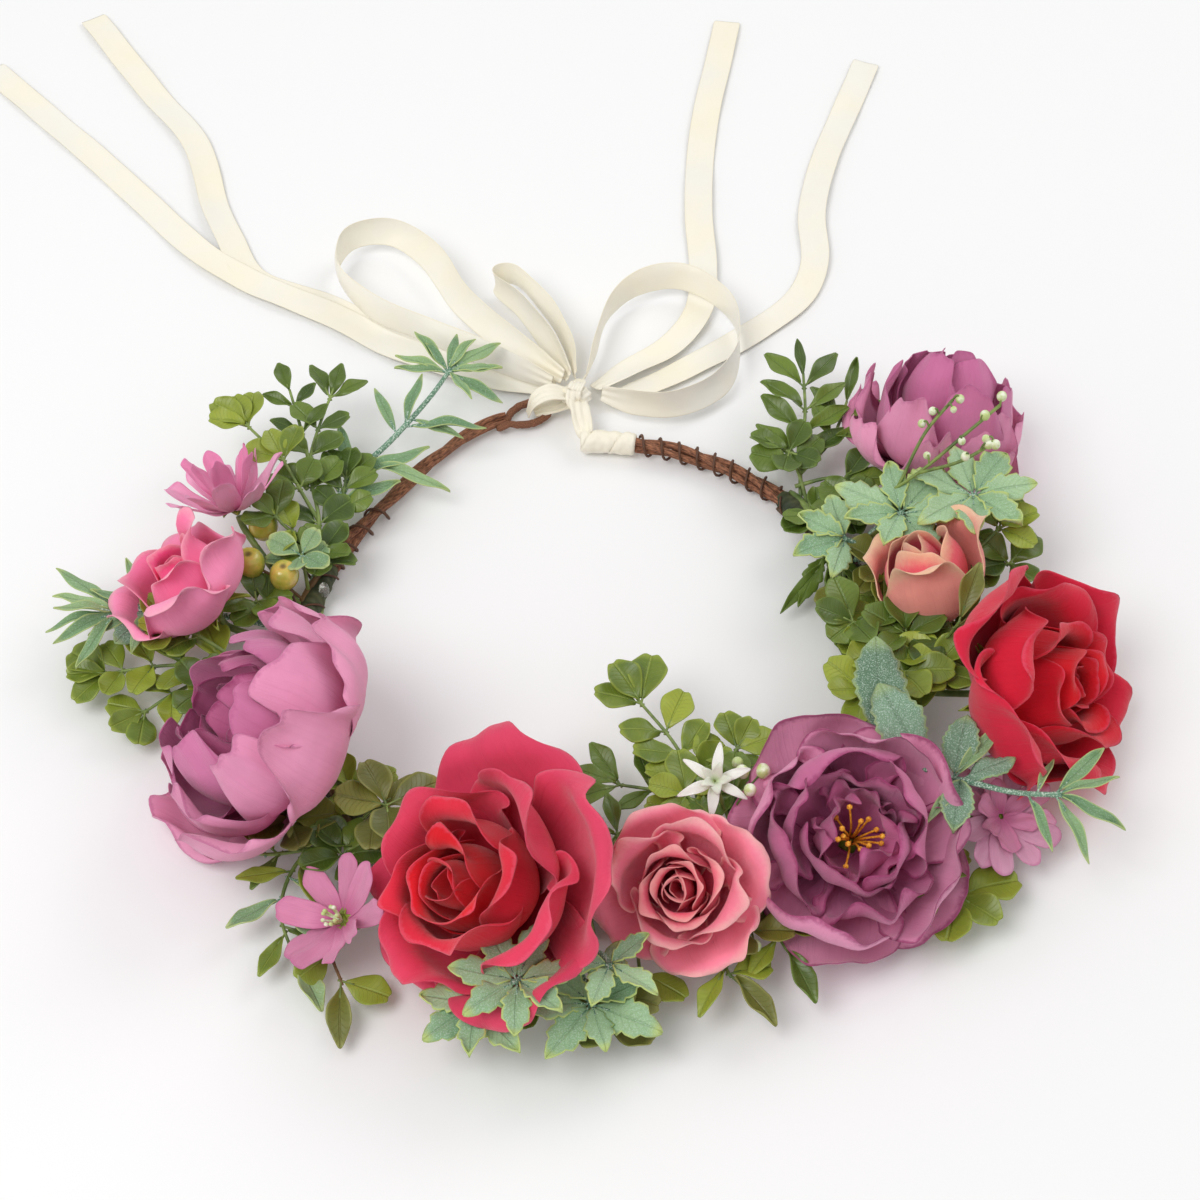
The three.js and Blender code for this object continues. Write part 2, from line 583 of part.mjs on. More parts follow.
// ---------------------------------------------------------------- the ring
function strand(number) {
  const phase = (2 * Math.PI * number) / STRAND_COUNT;
  const line = new WoundLine(RIGHT_END, LEFT_END, STRAND_ORBIT, TWIST_PITCH, phase);
  const steps = Math.round((radians(RIGHT_END - LEFT_END) * RING_RADIUS) / STRAND_STEP);
  const body = tube(line, STRAND_RADIUS, STRAND_SIDES, steps);
  if (number > 0) return geometryOf(solid(body));
  // The first strand turns back on itself at the left end and makes the eye for the ribbon.
  const root = line.getPoint(1);
  const along = line.getTangent(1);
  const across = along.clone().cross(UP).normalize();
  const spot = (reach, sideways) => root.clone()
    .addScaledVector(along, reach * EYE_LENGTH).addScaledVector(across, sideways * EYE_WIDTH);
  const eye = smooth([spot(-0.05, 0), spot(0.35, -0.45), spot(0.85, -0.4), spot(1, 0),
    spot(0.85, 0.4), spot(0.35, 0.45), spot(0.1, 0.1)]);
  return geometryOf(joined([body, tube(eye, STRAND_RADIUS, STRAND_SIDES, EYE_STEPS)]));
}

function bindingCoil() {
  const orbit = BUNDLE_RADIUS + 2 * FIT_GAP + BINDING_RADIUS;
  const line = new WoundLine(BINDING_START, BINDING_END, orbit, BINDING_PITCH, 0);
  return geometryOf(solid(tube(line, BINDING_RADIUS, SPRIG_SIDES, COIL_STEPS)));
}

// The tape covers the flowered arc and a little of the foot of every stem.
function floralTape() {
  const round = new RingLine(TAPE_START, TAPE_END);
  let body = solid(sleeve(round, TAPE_BORE, TAPE_WALL, TAPE_STEPS));
  for (const { start, direction, radius, sides } of feet) {
    const outside = radius + FIT_GAP + SOCKET_WALL;
    body = body.add(solid(rod(start, direction, outside, 0, SOCKET_LENGTH, sides)));
  }
  for (const { start, direction, radius, sides } of feet) {
    const bore = radius + FIT_GAP;
    body = body.subtract(solid(rod(start, direction, bore, -FIT_GAP, STRAIGHT_FOOT, sides)));
  }
  return geometryOf(body.subtract(solid(sleeveCore(round))));
}

// The room for the strands, cut last so that no stem's foot reaches into it.
function sleeveCore(curve) {
  const section = new THREE.Shape(octagon(TAPE_BORE));
  return new THREE.ExtrudeGeometry(section, { steps: TAPE_STEPS, extrudePath: curve });
}

// ---------------------------------------------------------------- ribbon
const KNOT = { x: -5, halfSizes: [6.5, 4.8, 4.6] };

// A point by how far right of the ring's middle and how far behind its centre line it is.
function behindRing(x, behind, height) {
  return new THREE.Vector3(x + RING_CENTRE.x, behind + RING_RADIUS + RING_CENTRE.y, height);
}

// Each tail runs from the knot over the table to its cut end.
const tails = {
  ribbon_tail_left_front: [[-12, 24.5, 3.2], [-36, 32, 2.8], [-65, 44, 2.2], [-89, 60, 1.9],
    [-118, 76, 1.8], [-137, 91, 1.5], [-157, 114, 1], [-176, 136, 0.8], [-198, 160, 0.8],
    [-222, 186, 0.8]],
  ribbon_tail_left_back: [[-14, 25, 1.2], [-42, 37, 0.6], [-68, 51, 0.6], [-92, 66, 0.6],
    [-117, 78, 0.6], [-127, 98, 0.6], [-133, 112, 0.6], [-143, 146, 0.6], [-162, 174, 0.6],
    [-188, 215, 0.6]],
  ribbon_tail_right_front: [[4, 20, 2], [22, 29, 1.2], [40, 41, 0.8], [57, 54, 0.7],
    [72, 69, 0.6], [78, 86, 0.6], [78, 110, 0.6], [84, 138, 0.6], [93, 164, 0.6],
    [102, 190, 0.6]],
  ribbon_tail_right_back: [[1, 24.5, 3.3], [13, 34.5, 2.8], [27, 45, 2.4], [37, 62, 2], [39, 82, 1.4],
    [38, 108, 0.8], [39, 136, 0.6], [42, 163, 0.6], [47, 190, 0.6], [51, 213, 0.6]],
};

// Each loop of the bow stands on its edge, from the knot out and back again.
const loops = {
  bow_loop_left: [[-9, 24.5], [-27, 40.5], [-44, 60], [-56, 82], [-70, 93], [-84, 90],
    [-88, 76], [-78, 60], [-60, 48], [-40, 37.5], [-12.5, 22]],
  bow_loop_left_small: [[-7, 24.8], [-14, 41], [-24, 58], [-33, 70], [-27, 72], [-16, 58],
    [-9, 43], [-5, 24.8]],
  bow_loop_right: [[-2, 24.3], [2, 39], [7, 57], [16, 68], [31, 71], [45, 60], [50, 40],
    [42, 21], [28, 13], [15, 13.5], [3.5, 17.5]],
};

// The ribbon wound round the right end of the vine.
function ribbonWrap() {
  const wrapLine = new RingLine(RIGHT_END - WRAP_SPAN, RIGHT_END);
  return geometryOf(solid(sleeve(wrapLine, BUNDLE_RADIUS + FIT_GAP, WRAP_WALL, 4)));
}

// The knot, with its gathered ribbon through the eye on one side and up to the wrap on the other.
function bowKnot() {
  const { x, halfSizes } = KNOT;
  const ball = new THREE.SphereGeometry(1, 10, 7).scale(...halfSizes);
  const middle = behindRing(x, KNOT_BEHIND, KNOT_HEIGHT);
  ball.translate(middle.x, middle.y, middle.z);
  const leftEnd = place(LEFT_END, 0, RING_HEIGHT);
  const rightEnd = place(RIGHT_END, 0, RING_HEIGHT);
  const along = new RingLine(RIGHT_END, LEFT_END).getTangent(1);
  const across = along.clone().cross(UP).normalize();
  const byEye = (reach, sideways) => leftEnd.clone()
    .addScaledVector(along, reach * EYE_LENGTH).addScaledVector(across, sideways * EYE_WIDTH);
  const overEye = byEye(0.994, -0.097).setZ(KNOT_HEIGHT + 3.4);
  const inEye = byEye(0.641, -0.063);
  const toEye = smooth([middle, overEye, inEye.clone().setZ(KNOT_HEIGHT + 1.5),
    inEye.clone().setZ(KNOT_HEIGHT - 4)]);
  const wrapRadius = (BUNDLE_RADIUS + FIT_GAP + WRAP_WALL) / Math.cos(Math.PI / 8);
  const reach = (wrapRadius + FIT_GAP) / rightEnd.distanceTo(middle);
  const toWrap = new THREE.LineCurve3(middle, rightEnd.clone().lerp(middle, reach));
  const gathers = [tube(toEye, GATHER_RADIUS, 6, 6), tube(toWrap, GATHER_RADIUS, 6, 1)];
  return geometryOf(joined([ball, ...gathers]));
}

// ---------------------------------------------------------------- the crown
const crown = new THREE.Group();
crown.name = 'flower_crown';

for (let i = 0; i < STRAND_COUNT; i += 1) crown.add(piece(`vine_strand_${i + 1}`, strand(i), vine));
crown.add(piece('binding_wire', bindingCoil(), bindingWire));

cupFlowers.forEach((flower) => crown.add(cupFlower(flower)));
furledFlowers.forEach((flower) => crown.add(furledFlower(flower)));
daisies.forEach((flower) => crown.add(daisy(flower)));
sprigs.forEach((item) => crown.add(sprig(item)));
ballSprigs.forEach((item) => crown.add(balls(item)));
crown.add(piece('floral_tape', floralTape(), tape));

for (const [name, points] of Object.entries(tails)) {
  const route = points.map((point) => behindRing(...point));
  crown.add(piece(name, band(route, RIBBON_THICKNESS, RIBBON_WIDTH, TAIL_STEPS), satin));
}
for (const [name, points] of Object.entries(loops)) {
  const route = points.map(([x, y]) => behindRing(x, y, LOOP_HEIGHT));
  crown.add(piece(name, band(route, RIBBON_WIDTH, RIBBON_THICKNESS, LOOP_STEPS), satin));
}
crown.add(piece('bow_knot', bowKnot(), satin));
crown.add(piece('ribbon_wrap', ribbonWrap(), satin));

export default crown;
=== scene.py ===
"""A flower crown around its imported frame: silk flowers and moulded leaf sprigs on a twisted vine
ring, tied at the back with a satin ribbon. Metres, +Z up, +Y to the back of the crown."""

import math
import random

import bpy
import numpy as np
from mathutils import Matrix, Vector, noise


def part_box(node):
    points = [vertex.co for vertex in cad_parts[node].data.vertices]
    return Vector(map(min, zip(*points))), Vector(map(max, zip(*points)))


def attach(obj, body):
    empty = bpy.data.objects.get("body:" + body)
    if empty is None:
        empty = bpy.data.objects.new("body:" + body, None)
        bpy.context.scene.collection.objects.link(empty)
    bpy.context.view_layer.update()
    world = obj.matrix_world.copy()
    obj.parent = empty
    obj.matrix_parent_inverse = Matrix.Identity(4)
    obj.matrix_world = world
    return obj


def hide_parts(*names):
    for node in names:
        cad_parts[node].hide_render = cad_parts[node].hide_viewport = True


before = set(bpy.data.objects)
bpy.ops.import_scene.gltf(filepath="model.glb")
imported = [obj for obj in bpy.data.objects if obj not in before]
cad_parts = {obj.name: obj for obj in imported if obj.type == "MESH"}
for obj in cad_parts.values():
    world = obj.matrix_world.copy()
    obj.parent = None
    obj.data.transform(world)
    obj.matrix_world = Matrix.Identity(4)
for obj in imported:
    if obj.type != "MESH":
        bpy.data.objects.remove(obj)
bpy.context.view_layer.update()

# ------------------------------------------------------------------ driving sizes
RING_RADIUS = 0.090             # centre line of the vine bundle
RING_CENTRE = Vector((0.0002, -0.0188, 0.0))
RING_HEIGHT = 0.0044
RIGHT_END = 91                  # degrees, anticlockwise from +X
LEFT_END = -254.5
LEFT_FLARE = 0.014              # how far the left end springs outwards
FLARE_SPAN = 36                 # degrees of arc that the flare takes
TAPE_START = 46
TAPE_END = -203

STRAND_RADIUS = 0.00125
STRAND_ORBIT = 0.0016
TWIST_PITCH = 0.062
TAPE_RADIUS = 0.0033
WIRE_RADIUS = 0.00035
STEM_RADIUS = 0.0011
SPRIG_RADIUS = 0.0006
FROSTED_RADIUS = 0.001
STALK_RADIUS = 0.00038

PETAL_THICKNESS = 0.00032
LEAF_THICKNESS = 0.00045
RIBBON_WIDTH = 0.010
RIBBON_THICKNESS = 0.0003
LOOP_HEIGHT = 0.009
KNOT = Vector((-0.0048, 0.0892, 0.007))

UP = Vector((0, 0, 1))


def stand(name, data):
    """An object in the scene around a mesh, camera or light."""
    made = bpy.data.objects.new(name, data)
    bpy.context.scene.collection.objects.link(made)
    return made


# ------------------------------------------------------------------ camera, floor and light
CAMERA_TARGET = Vector((0.0033, -0.0032, 0.015))
CAMERA_ELEVATION = 52           # degrees above the table
CAMERA_DISTANCE = 0.878
CAMERA_LENS = 85
FLOOR_SIZE = 12
FLOOR_DROP = 0.0002             # keeps the floor from flickering against what lies on it
ROOM_LIGHT = 0.62
LIGHT_TARGET = (0, 0, 0.02)


def set_camera():
    """A long lens, straight in front of the crown and well above it."""
    elevation = math.radians(CAMERA_ELEVATION)
    data = bpy.data.cameras.new("camera")
    data.lens = CAMERA_LENS
    data.sensor_width = 36
    camera = stand("camera", data)
    away = Vector((0, -math.cos(elevation), math.sin(elevation)))
    camera.location = CAMERA_TARGET + away * CAMERA_DISTANCE
    camera.rotation_euler = (math.pi / 2 - elevation, 0, 0)
    bpy.context.scene.camera = camera


def add_light(name, size, power, place):
    data = bpy.data.lights.new(name, "AREA")
    data.shape = "DISK"
    data.size = size
    data.energy = power
    light = stand(name, data)
    light.location = place
    light.rotation_euler = (Vector(place) - Vector(LIGHT_TARGET)).to_track_quat("Z", "Y").to_euler()


def set_stage():
    """A pale floor under a large soft light, with an even fill from all round."""
    bpy.ops.object.select_all(action="DESELECT")
    bpy.ops.mesh.primitive_plane_add(size=FLOOR_SIZE, location=(0, 0, -FLOOR_DROP))
    floor = bpy.context.object
    floor.name = "floor"
    finish = bpy.data.materials.new("pale_floor")
    finish.use_nodes = True
    shader = finish.node_tree.nodes["Principled BSDF"]
    shader.inputs["Base Color"].default_value = (0.93, 0.93, 0.93, 1)
    shader.inputs["Roughness"].default_value = 0.9
    floor.data.materials.append(finish)
    world = bpy.data.worlds.new("soft_room")
    world.use_nodes = True
    back = world.node_tree.nodes["Background"]
    back.inputs["Color"].default_value = (1, 1, 1, 1)
    back.inputs["Strength"].default_value = ROOM_LIGHT
    bpy.context.scene.world = world
    bpy.context.scene.view_settings.view_transform = "Standard"
    add_light("key", 1.1, 13.0, (-0.75, -0.55, 1.5))
    add_light("rim", 0.9, 4.5, (0.9, 0.8, 1.1))


# ------------------------------------------------------------------ shader maths
def sums(operation, swapped=False):
    """An operator that adds a Math node, with its two sides swapped where asked."""
    def operator(self, other=0.0):
        first, second = (other, self) if swapped else (self, other)
        return self.finish.node("ShaderNodeMath", {"operation": operation}, {0: first, 1: second})
    return operator


class Value:
    """A shader socket whose sums add Math nodes."""

    __add__ = sums("ADD")
    __radd__ = sums("ADD", swapped=True)
    __sub__ = sums("SUBTRACT")
    __rsub__ = sums("SUBTRACT", swapped=True)
    __mul__ = sums("MULTIPLY")
    __rmul__ = sums("MULTIPLY", swapped=True)
    __abs__ = sums("ABSOLUTE")
    larger = sums("MAXIMUM")
    smaller = sums("MINIMUM")
    wave = sums("SINE")

    def __init__(self, finish, socket):
        self.finish = finish
        self.socket = socket

    def between(self, low, high):
        """0 up to low, 1 from high on, and smooth in between."""
        return self.finish.node(
            "ShaderNodeMapRange", {"interpolation_type": "SMOOTHSTEP"},
            {"Value": self, "From Min": low, "From Max": high})


def linear(colour):
    """A colour's usual 0 to 255 amounts as linear shares."""
    if isinstance(colour, Value):
        return colour
    shares = [amount / 255 for amount in colour]
    return tuple(share / 12.92 if share <= 0.04045 else ((share + 0.055) / 1.055) ** 2.4
                 for share in shares)


class Finish:
    """A material on one Principled shader, built from expressions."""

    def __init__(self, name, roughness=0.7, **uniform):
        self.material = bpy.data.materials.new(name)
        self.material.use_nodes = True
        self.tree = self.material.node_tree
        self.shader = self.tree.nodes["Principled BSDF"]
        self.shader.inputs["Roughness"].default_value = roughness
        for socket, value in uniform.items():
            self.shader.inputs[socket.replace("_", " ")].default_value = value

    def node(self, kind, settings=None, inputs=None, output=0):
        """Adds any node: first its settings, then the values or links of its sockets."""
        made = self.tree.nodes.new(kind)
        for setting, value in (settings or {}).items():
            setattr(made, setting, value)
        for socket, value in (inputs or {}).items():
            self.feed(made.inputs[socket], value)
        return Value(self, made.outputs[output])

    def feed(self, socket, value):
        if isinstance(value, Value):
            self.tree.links.new(value.socket, socket)
        elif isinstance(value, tuple) and socket.type == "RGBA":
            socket.default_value = (*value[:3], 1)
        else:
            socket.default_value = value

    def set(self, socket, value):
        self.feed(self.shader.inputs[socket], value)

    def split(self, vector):
        return [self.node("ShaderNodeSeparateXYZ", inputs={0: vector}, output=i) for i in range(3)]

    def place(self):
        return self.node("ShaderNodeTexCoord", output=3)

    def cloth(self):
        """The piece's own map: across it and along it, each from 0 to 1."""
        return self.node("ShaderNodeTexCoord", output=2)

    def attribute(self, name):
        return self.node("ShaderNodeAttribute", {"attribute_name": name}, output=2)

    def stretch(self, vector, scale):
        return self.node("ShaderNodeMapping", inputs={"Vector": vector, "Scale": scale})

    def noise(self, vector, scale, detail=3.0, roughness=0.55):
        return self.node("ShaderNodeTexNoise", inputs={
            "Vector": vector, "Scale": scale, "Detail": detail, "Roughness": roughness})

    def mix(self, share, first, second):
        """Blends two colours, each a value or its usual 0 to 255 amounts."""
        return self.node(
            "ShaderNodeMix", {"data_type": "RGBA", "blend_type": "MIX"},
            {0: share, 6: linear(first), 7: linear(second)}, output=2)

    def tone(self, colour, lightness):
        """A colour made lighter or darker by a value near 1."""
        return self.node("ShaderNodeVectorMath", {"operation": "SCALE"}, {0: colour, 3: lightness})

    def done(self, base, relief, depth, strength, roughness=None):
        """Feeds the colour, the roughness if it varies, and the relief, and gives the material."""
        self.set("Base Color", base)
        if roughness is not None:
            self.set("Roughness", roughness)
        made = self.node("ShaderNodeBump", inputs={
            "Height": relief, "Distance": depth, "Strength": strength})
        self.set("Normal", made)
        return self.material


# ------------------------------------------------------------------ finishes
def petal_finish(name, heart, outer, rim, throat_shade_and_vein, rim_from=0.9, veins=0.15, rim_share=0.8):
    """Woven silk: its own base colour and painted shade deepening towards each petal's foot, with a
    coloured rim, faint veins and dye clouds.
    """
    f = Finish(name, 0.72, Sheen_Weight=0.25, Sheen_Roughness=0.45, Specular_IOR_Level=0.3)
    across, along, _ = f.split(f.cloth())
    ring = f.attribute("layer")
    shade = f.attribute("shade")
    place = f.place()
    clouds = f.noise(place, 95.0, 2.0)
    side = abs(across * 2.0 - 1.0)
    edge = side.larger(along)
    fray = f.noise(place, 700.0, 2.0)
    base = f.mix(ring.between(0.4, 0.95), heart, outer)
    # painted shade deep in the flower, together with the silk's own base colour: each petal turns towards
    # the throat colour at its foot
    base = f.mix(along.between(0.5, 0.02) * 0.75, base, throat_shade_and_vein)
    ribs = f.noise(f.stretch(f.cloth(), (34.0, 1.6, 1.0)), 1.0, 3.0).between(0.45, 0.75)
    base = f.mix(ribs * (1.1 - along) * veins, base, throat_shade_and_vein)
    rim_mask = (edge + (fray - 0.5) * 0.08).between(rim_from, 1.0)
    base = f.mix(rim_mask * rim_share, base, rim)
    base = f.tone(base, 0.82 + clouds * 0.26 + shade * 0.16)
    weave_map = f.stretch(f.cloth(), (120.0, 120.0, 1.0))
    weave_across, weave_along, _ = f.split(weave_map)
    weave = (weave_across * math.tau).wave() * (weave_along * math.tau).wave()
    creases = f.noise(place, 240.0, 3.0)
    return f.done(base, weave * 0.1 + ribs * 0.35 + creases * 0.8, 0.0006, 0.5, 0.62 + clouds * 0.2)


def satin_finish():
    """Ivory satin: fine cross ribs, a stiff edge and a soft shine that changes along the ribbon."""
    f = Finish("ivory_satin", 0.34, Sheen_Weight=0.15, Sheen_Roughness=0.3, Specular_IOR_Level=0.55)
    across = f.split(f.cloth())[0]
    place = f.place()
    clouds = f.noise(place, 28.0, 3.0)
    edge = abs(across * 2.0 - 1.0).between(0.86, 0.97)
    base = f.mix(clouds.between(0.3, 0.7), (253, 246, 224), (248, 245, 234))
    base = f.mix(edge * 0.3, base, (238, 228, 200))
    threads = (across * 1100.0).wave() * 0.5
    ribs = f.noise(f.stretch(f.cloth(), (3.0, 420.0, 1.0)), 1.0, 2.0)
    relief = ribs * 0.6 + threads * 0.1 + edge * 0.5
    return f.done(base, relief, 0.0002, 0.45, 0.26 + clouds * 0.14 + edge * 0.15)


def vine_finish():
    """Reddish-brown bark with long fibres and darker cracks."""
    f = Finish("vine_bark", 0.85)
    place = f.place()
    fibres = f.noise(f.stretch(f.cloth(), (14.0, 260.0, 1.0)), 1.0, 4.0)
    knots = f.noise(place, 160.0, 4.0)
    base = f.mix(fibres.between(0.3, 0.7), (90, 56, 40), (176, 118, 86))
    base = f.mix(knots.between(0.58, 0.75) * 0.7, base, (54, 33, 26))
    return f.done(base, fibres * 0.7 + knots * 0.8, 0.0007, 0.9)


def tape_finish():
    """Waxed crepe tape, stretched in slanting pleats."""
    f = Finish("green_crepe_tape", 0.7)
    across, along, _ = f.split(f.cloth())
    place = f.place()
    crepe = (across * math.tau * 2.0 + along * 900.0).wave() * 0.5 + 0.5
    blotches = f.noise(place, 130.0, 4.0)
    base = f.mix(blotches.between(0.3, 0.7), (42, 56, 34), (88, 92, 58))
    base = f.mix(crepe * 0.35, base, (30, 34, 24))
    return f.done(base, crepe * 0.6 + blotches * 0.8, 0.0006, 0.8, 0.55 + blotches * 0.3)


def stem_finish(name, light, dark, flock=0.0):
    """Moulded plastic stem, or the same under a coat of flock."""
    f = Finish(name, 0.5)
    place = f.place()
    clouds = f.noise(place, 120.0, 3.0)
    grains = f.noise(place, 1900.0, 2.0)
    base = f.mix(clouds.between(0.35, 0.65), dark, light)
    base = f.mix(grains.between(0.5, 0.62) * flock, base, (214, 230, 214))
    relief = clouds * 0.4 + grains * (0.1 + flock * 0.6)
    return f.done(base, relief, 0.0004, 0.6, 0.42 + 0.45 * flock + clouds * 0.12)


def leaf_finish(name, light, dark, rim, vein, flock=0.0, gloss=0.35):
    """Moulded leaf: midrib, side veins, a thin rim, age tints and an optional coat of flock."""
    f = Finish(name, gloss)
    across, along, _ = f.split(f.cloth())
    shade = f.attribute("shade")
    place = f.place()
    side = abs(across * 2.0 - 1.0)
    midrib = side.between(0.11, 0.02)
    branches = ((along * 9.0 - side * 2.6) * math.tau).wave().between(0.86, 1.0) * (1 - side * 0.7)
    clouds = f.noise(place, 150.0, 3.0)
    grains = f.noise(place, 2600.0, 2.0, 0.7)
    tint = (shade * 0.75 + clouds * 0.5 - 0.12).smaller(1.0).larger(0.0)
    base = f.mix(tint, dark, light)
    base = f.mix(midrib.larger(branches * 0.5) * 0.55, base, vein)
    rim_mask = side.larger(along).between(0.8, 0.98)
    base = f.mix(rim_mask * 0.75, base, rim)
    base = f.mix(grains.between(0.5, 0.66) * flock * (1 - rim_mask * 0.6), base,
                 (206, 226, 212))
    relief = clouds * 0.3 - midrib * 0.9 - branches * 0.35 + grains * (0.08 + flock * 0.55)
    return f.done(base, relief, 0.0005, 0.7, gloss + clouds * 0.12 + flock * 0.4)


def berry_finish():
    """Waxy yellow-green skin with an orange blush and a dark tip."""
    f = Finish("waxy_berry", 0.22, Coat_Weight=0.4, Coat_Roughness=0.12, Subsurface_Weight=0.15)
    f.shader.inputs["Subsurface Scale"].default_value = 0.002
    along = f.split(f.cloth())[1]
    clouds = f.noise(f.place(), 190.0, 3.0)
    base = f.mix(clouds.between(0.35, 0.65), (168, 172, 62), (214, 196, 92))
    base = f.mix(clouds.between(0.55, 0.8) * 0.6, base, (206, 128, 56))
    base = f.mix(along.between(0.9, 0.98) * 0.8, base, (84, 66, 30))
    return f.done(base, clouds, 0.0003, 0.4)


def speckled_finish(name, scale, detail, dark, light, blend, relief, base_roughness, vary=None,
                    **uniform):
    """Two colours in fine specks. vary is the least roughness and how much the specks add to it."""
    f = Finish(name, base_roughness, **uniform)
    specks = f.noise(f.place(), scale, detail)
    share = specks.between(*blend) if blend else specks
    roughness = vary[0] + specks * vary[1] if vary else None
    return f.done(f.mix(share, dark, light), specks, *relief, roughness)


FINISH = {
    "satin": satin_finish(),
    "vine": vine_finish(),
    "wire": speckled_finish("brown_wire_paper", 420.0, 3.0, (70, 42, 30), (112, 74, 50), None,
                            (0.0002, 0.6), 0.6, (0.45, 0.3)),
    "tape": tape_finish(),
    "berry": berry_finish(),
    "bud": speckled_finish("pale_bud", 330.0, 3.0, (196, 214, 138), (240, 244, 222), (0.4, 0.65),
                           (0.0003, 0.5), 0.5),
    "stamen": speckled_finish("pollen_yellow", 1400.0, 2.0, (206, 112, 16), (250, 184, 56),
                              (0.35, 0.65), (0.0003, 0.8), 0.65),
    "glue": speckled_finish("clear_glue", 260.0, 2.0, (235, 235, 225), (250, 250, 245), None,
                            (0.0002, 0.3), 0.12, (0.08, 0.15), Transmission_Weight=0.85, IOR=1.48),
    "stem": stem_finish("green_stem", (140, 160, 84), (86, 108, 52)),
    "brown_stem": stem_finish("brown_stem", (128, 98, 62), (84, 62, 40)),
    "frosted_stem": stem_finish("frosted_stem", (120, 158, 132), (84, 124, 100), 0.8),
    "boxwood": leaf_finish("boxwood_leaf", (168, 180, 62), (66, 96, 28), (150, 166, 60),
                           (150, 168, 72), gloss=0.27),
    "olive": leaf_finish("olive_leaf", (140, 140, 56), (84, 92, 38), (148, 150, 78), (120, 122, 66)),
    "dark": leaf_finish("dark_leaf", (116, 138, 48), (50, 74, 22), (108, 132, 52), (110, 136, 66),
                        gloss=0.27),
    "dusty": leaf_finish("dusty_leaf", (160, 190, 132), (102, 142, 100), (196, 210, 134),
                         (128, 162, 118), 0.3, 0.6),
    "frosted": leaf_finish("frosted_leaf", (176, 206, 158), (128, 168, 128), (202, 216, 118),
                           (142, 178, 134), 0.5, 0.6),
    "frosted_grey": leaf_finish("frosted_grey_leaf", (128, 160, 132), (66, 98, 70), (168, 190, 128),
                                (98, 128, 100), 0.6, 0.6),
    "mauve": petal_finish("mauve_silk", (198, 104, 148), (232, 156, 190), (150, 46, 98),
                          (146, 50, 98), 0.92, 0.2, 0.8),
    "mauve_pink": petal_finish("mauve_pink_silk", (206, 116, 160), (236, 156, 190), (176, 78, 128),
                               (152, 60, 104), 0.95, 0.14, 0.45),
    "hot_pink": petal_finish("hot_pink_silk", (252, 84, 142), (255, 150, 190), (255, 190, 200),
                             (226, 44, 110), 0.9, 0.12, 0.5),
    "red": petal_finish("red_silk", (226, 8, 30), (224, 66, 100), (232, 96, 122),
                        (150, 2, 14), 0.965, 0.12, 0.4),
    "deep_red": petal_finish("deep_red_silk", (222, 8, 32), (216, 26, 60), (224, 84, 112),
                             (120, 2, 14), 0.965, 0.12, 0.4),
    "coral": petal_finish("coral_silk", (246, 78, 112), (254, 140, 164), (255, 212, 198),
                          (206, 40, 76), 0.84, 0.14, 0.52),
    "peach": petal_finish("peach_silk", (240, 92, 112), (246, 158, 146), (250, 208, 170),
                          (222, 70, 90), 0.8, 0.14, 0.85),
    "daisy": petal_finish("daisy_silk", (240, 146, 188), (249, 180, 212), (232, 126, 178),
                          (200, 72, 132), 0.92, 0.4, 0.5),
    "dusty_daisy": petal_finish("dusty_daisy_silk", (222, 142, 178), (234, 170, 200),
                                (204, 110, 156), (184, 76, 130), 0.92, 0.6, 0.5),
    "white": petal_finish("white_silk", (236, 240, 222), (250, 250, 242), (252, 240, 240),
                          (196, 214, 150), 0.93, 0.08, 0.4),
}


# ------------------------------------------------------------------ places and paths
def outward_at(angle):
    return Vector((math.cos(math.radians(angle)), math.sin(math.radians(angle)), 0))


def ring_radius_at(angle):
    along = min(max((LEFT_END + FLARE_SPAN - angle) / FLARE_SPAN, 0), 1)
    return RING_RADIUS + LEFT_FLARE * along * along * (3 - 2 * along)


def around(angle, out, height):
    """A point by its angle round the ring, how far outside the vine it is, and its height."""
    return RING_CENTRE + outward_at(angle) * (ring_radius_at(angle) + out) + UP * height


def behind_ring(x, behind, height):
    """A point by how far right of the ring's middle and how far behind its centre line it is."""
    return RING_CENTRE + Vector((x, RING_RADIUS + behind, height))


def box_middle(node):
    low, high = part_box(node)
    return (low + high) / 2


CURVE_STEPS = 12                # points worked out between each two given ones


def smooth_path(points, steps):
    """Points spread evenly along a smooth line through the given ones.

    The line is a centripetal curve: its steps grow with the root of the distance between points.
    """
    points = [Vector(point) for point in points]
    ends = [points[0] * 2 - points[1], *points, points[-1] * 2 - points[-2]]
    fine = []
    for a, b, c, d in zip(ends, ends[1:], ends[2:], ends[3:]):
        first = (b - a).length ** 0.5
        second = first + (c - b).length ** 0.5
        third = second + (d - c).length ** 0.5
        for i in range(CURVE_STEPS):
            t = first + (second - first) * i / CURVE_STEPS
            ab = a.lerp(b, t / first)
            bc = b.lerp(c, (t - first) / (second - first))
            cd = c.lerp(d, (t - second) / (third - second))
            abc = ab.lerp(bc, t / second)
            bcd = bc.lerp(cd, (t - first) / (third - first))
            fine.append(abc.lerp(bcd, (t - first) / (second - first)))
    fine.append(points[-1])
    return spread(fine, steps)


def spread(points, steps):
    """The same line with its points at even distances."""
    places = np.array([tuple(point) for point in points])
    run = np.concatenate([[0], np.cumsum(np.linalg.norm(np.diff(places, axis=0), axis=1))])
    wanted = np.linspace(0, run[-1], steps + 1)
    return [Vector(row) for row in np.stack([np.interp(wanted, run, places[:, k]) for k in range(3)], 1)]


def tangents(points):
    last = len(points) - 1
    return [(points[min(i + 1, last)] - points[max(i - 1, 0)]).normalized() for i in range(last + 1)]


def ring_path(start, end, steps):
    """The ring's centre line between two angles."""
    return [around(start + (end - start) * i / steps, 0, RING_HEIGHT) for i in range(steps + 1)]


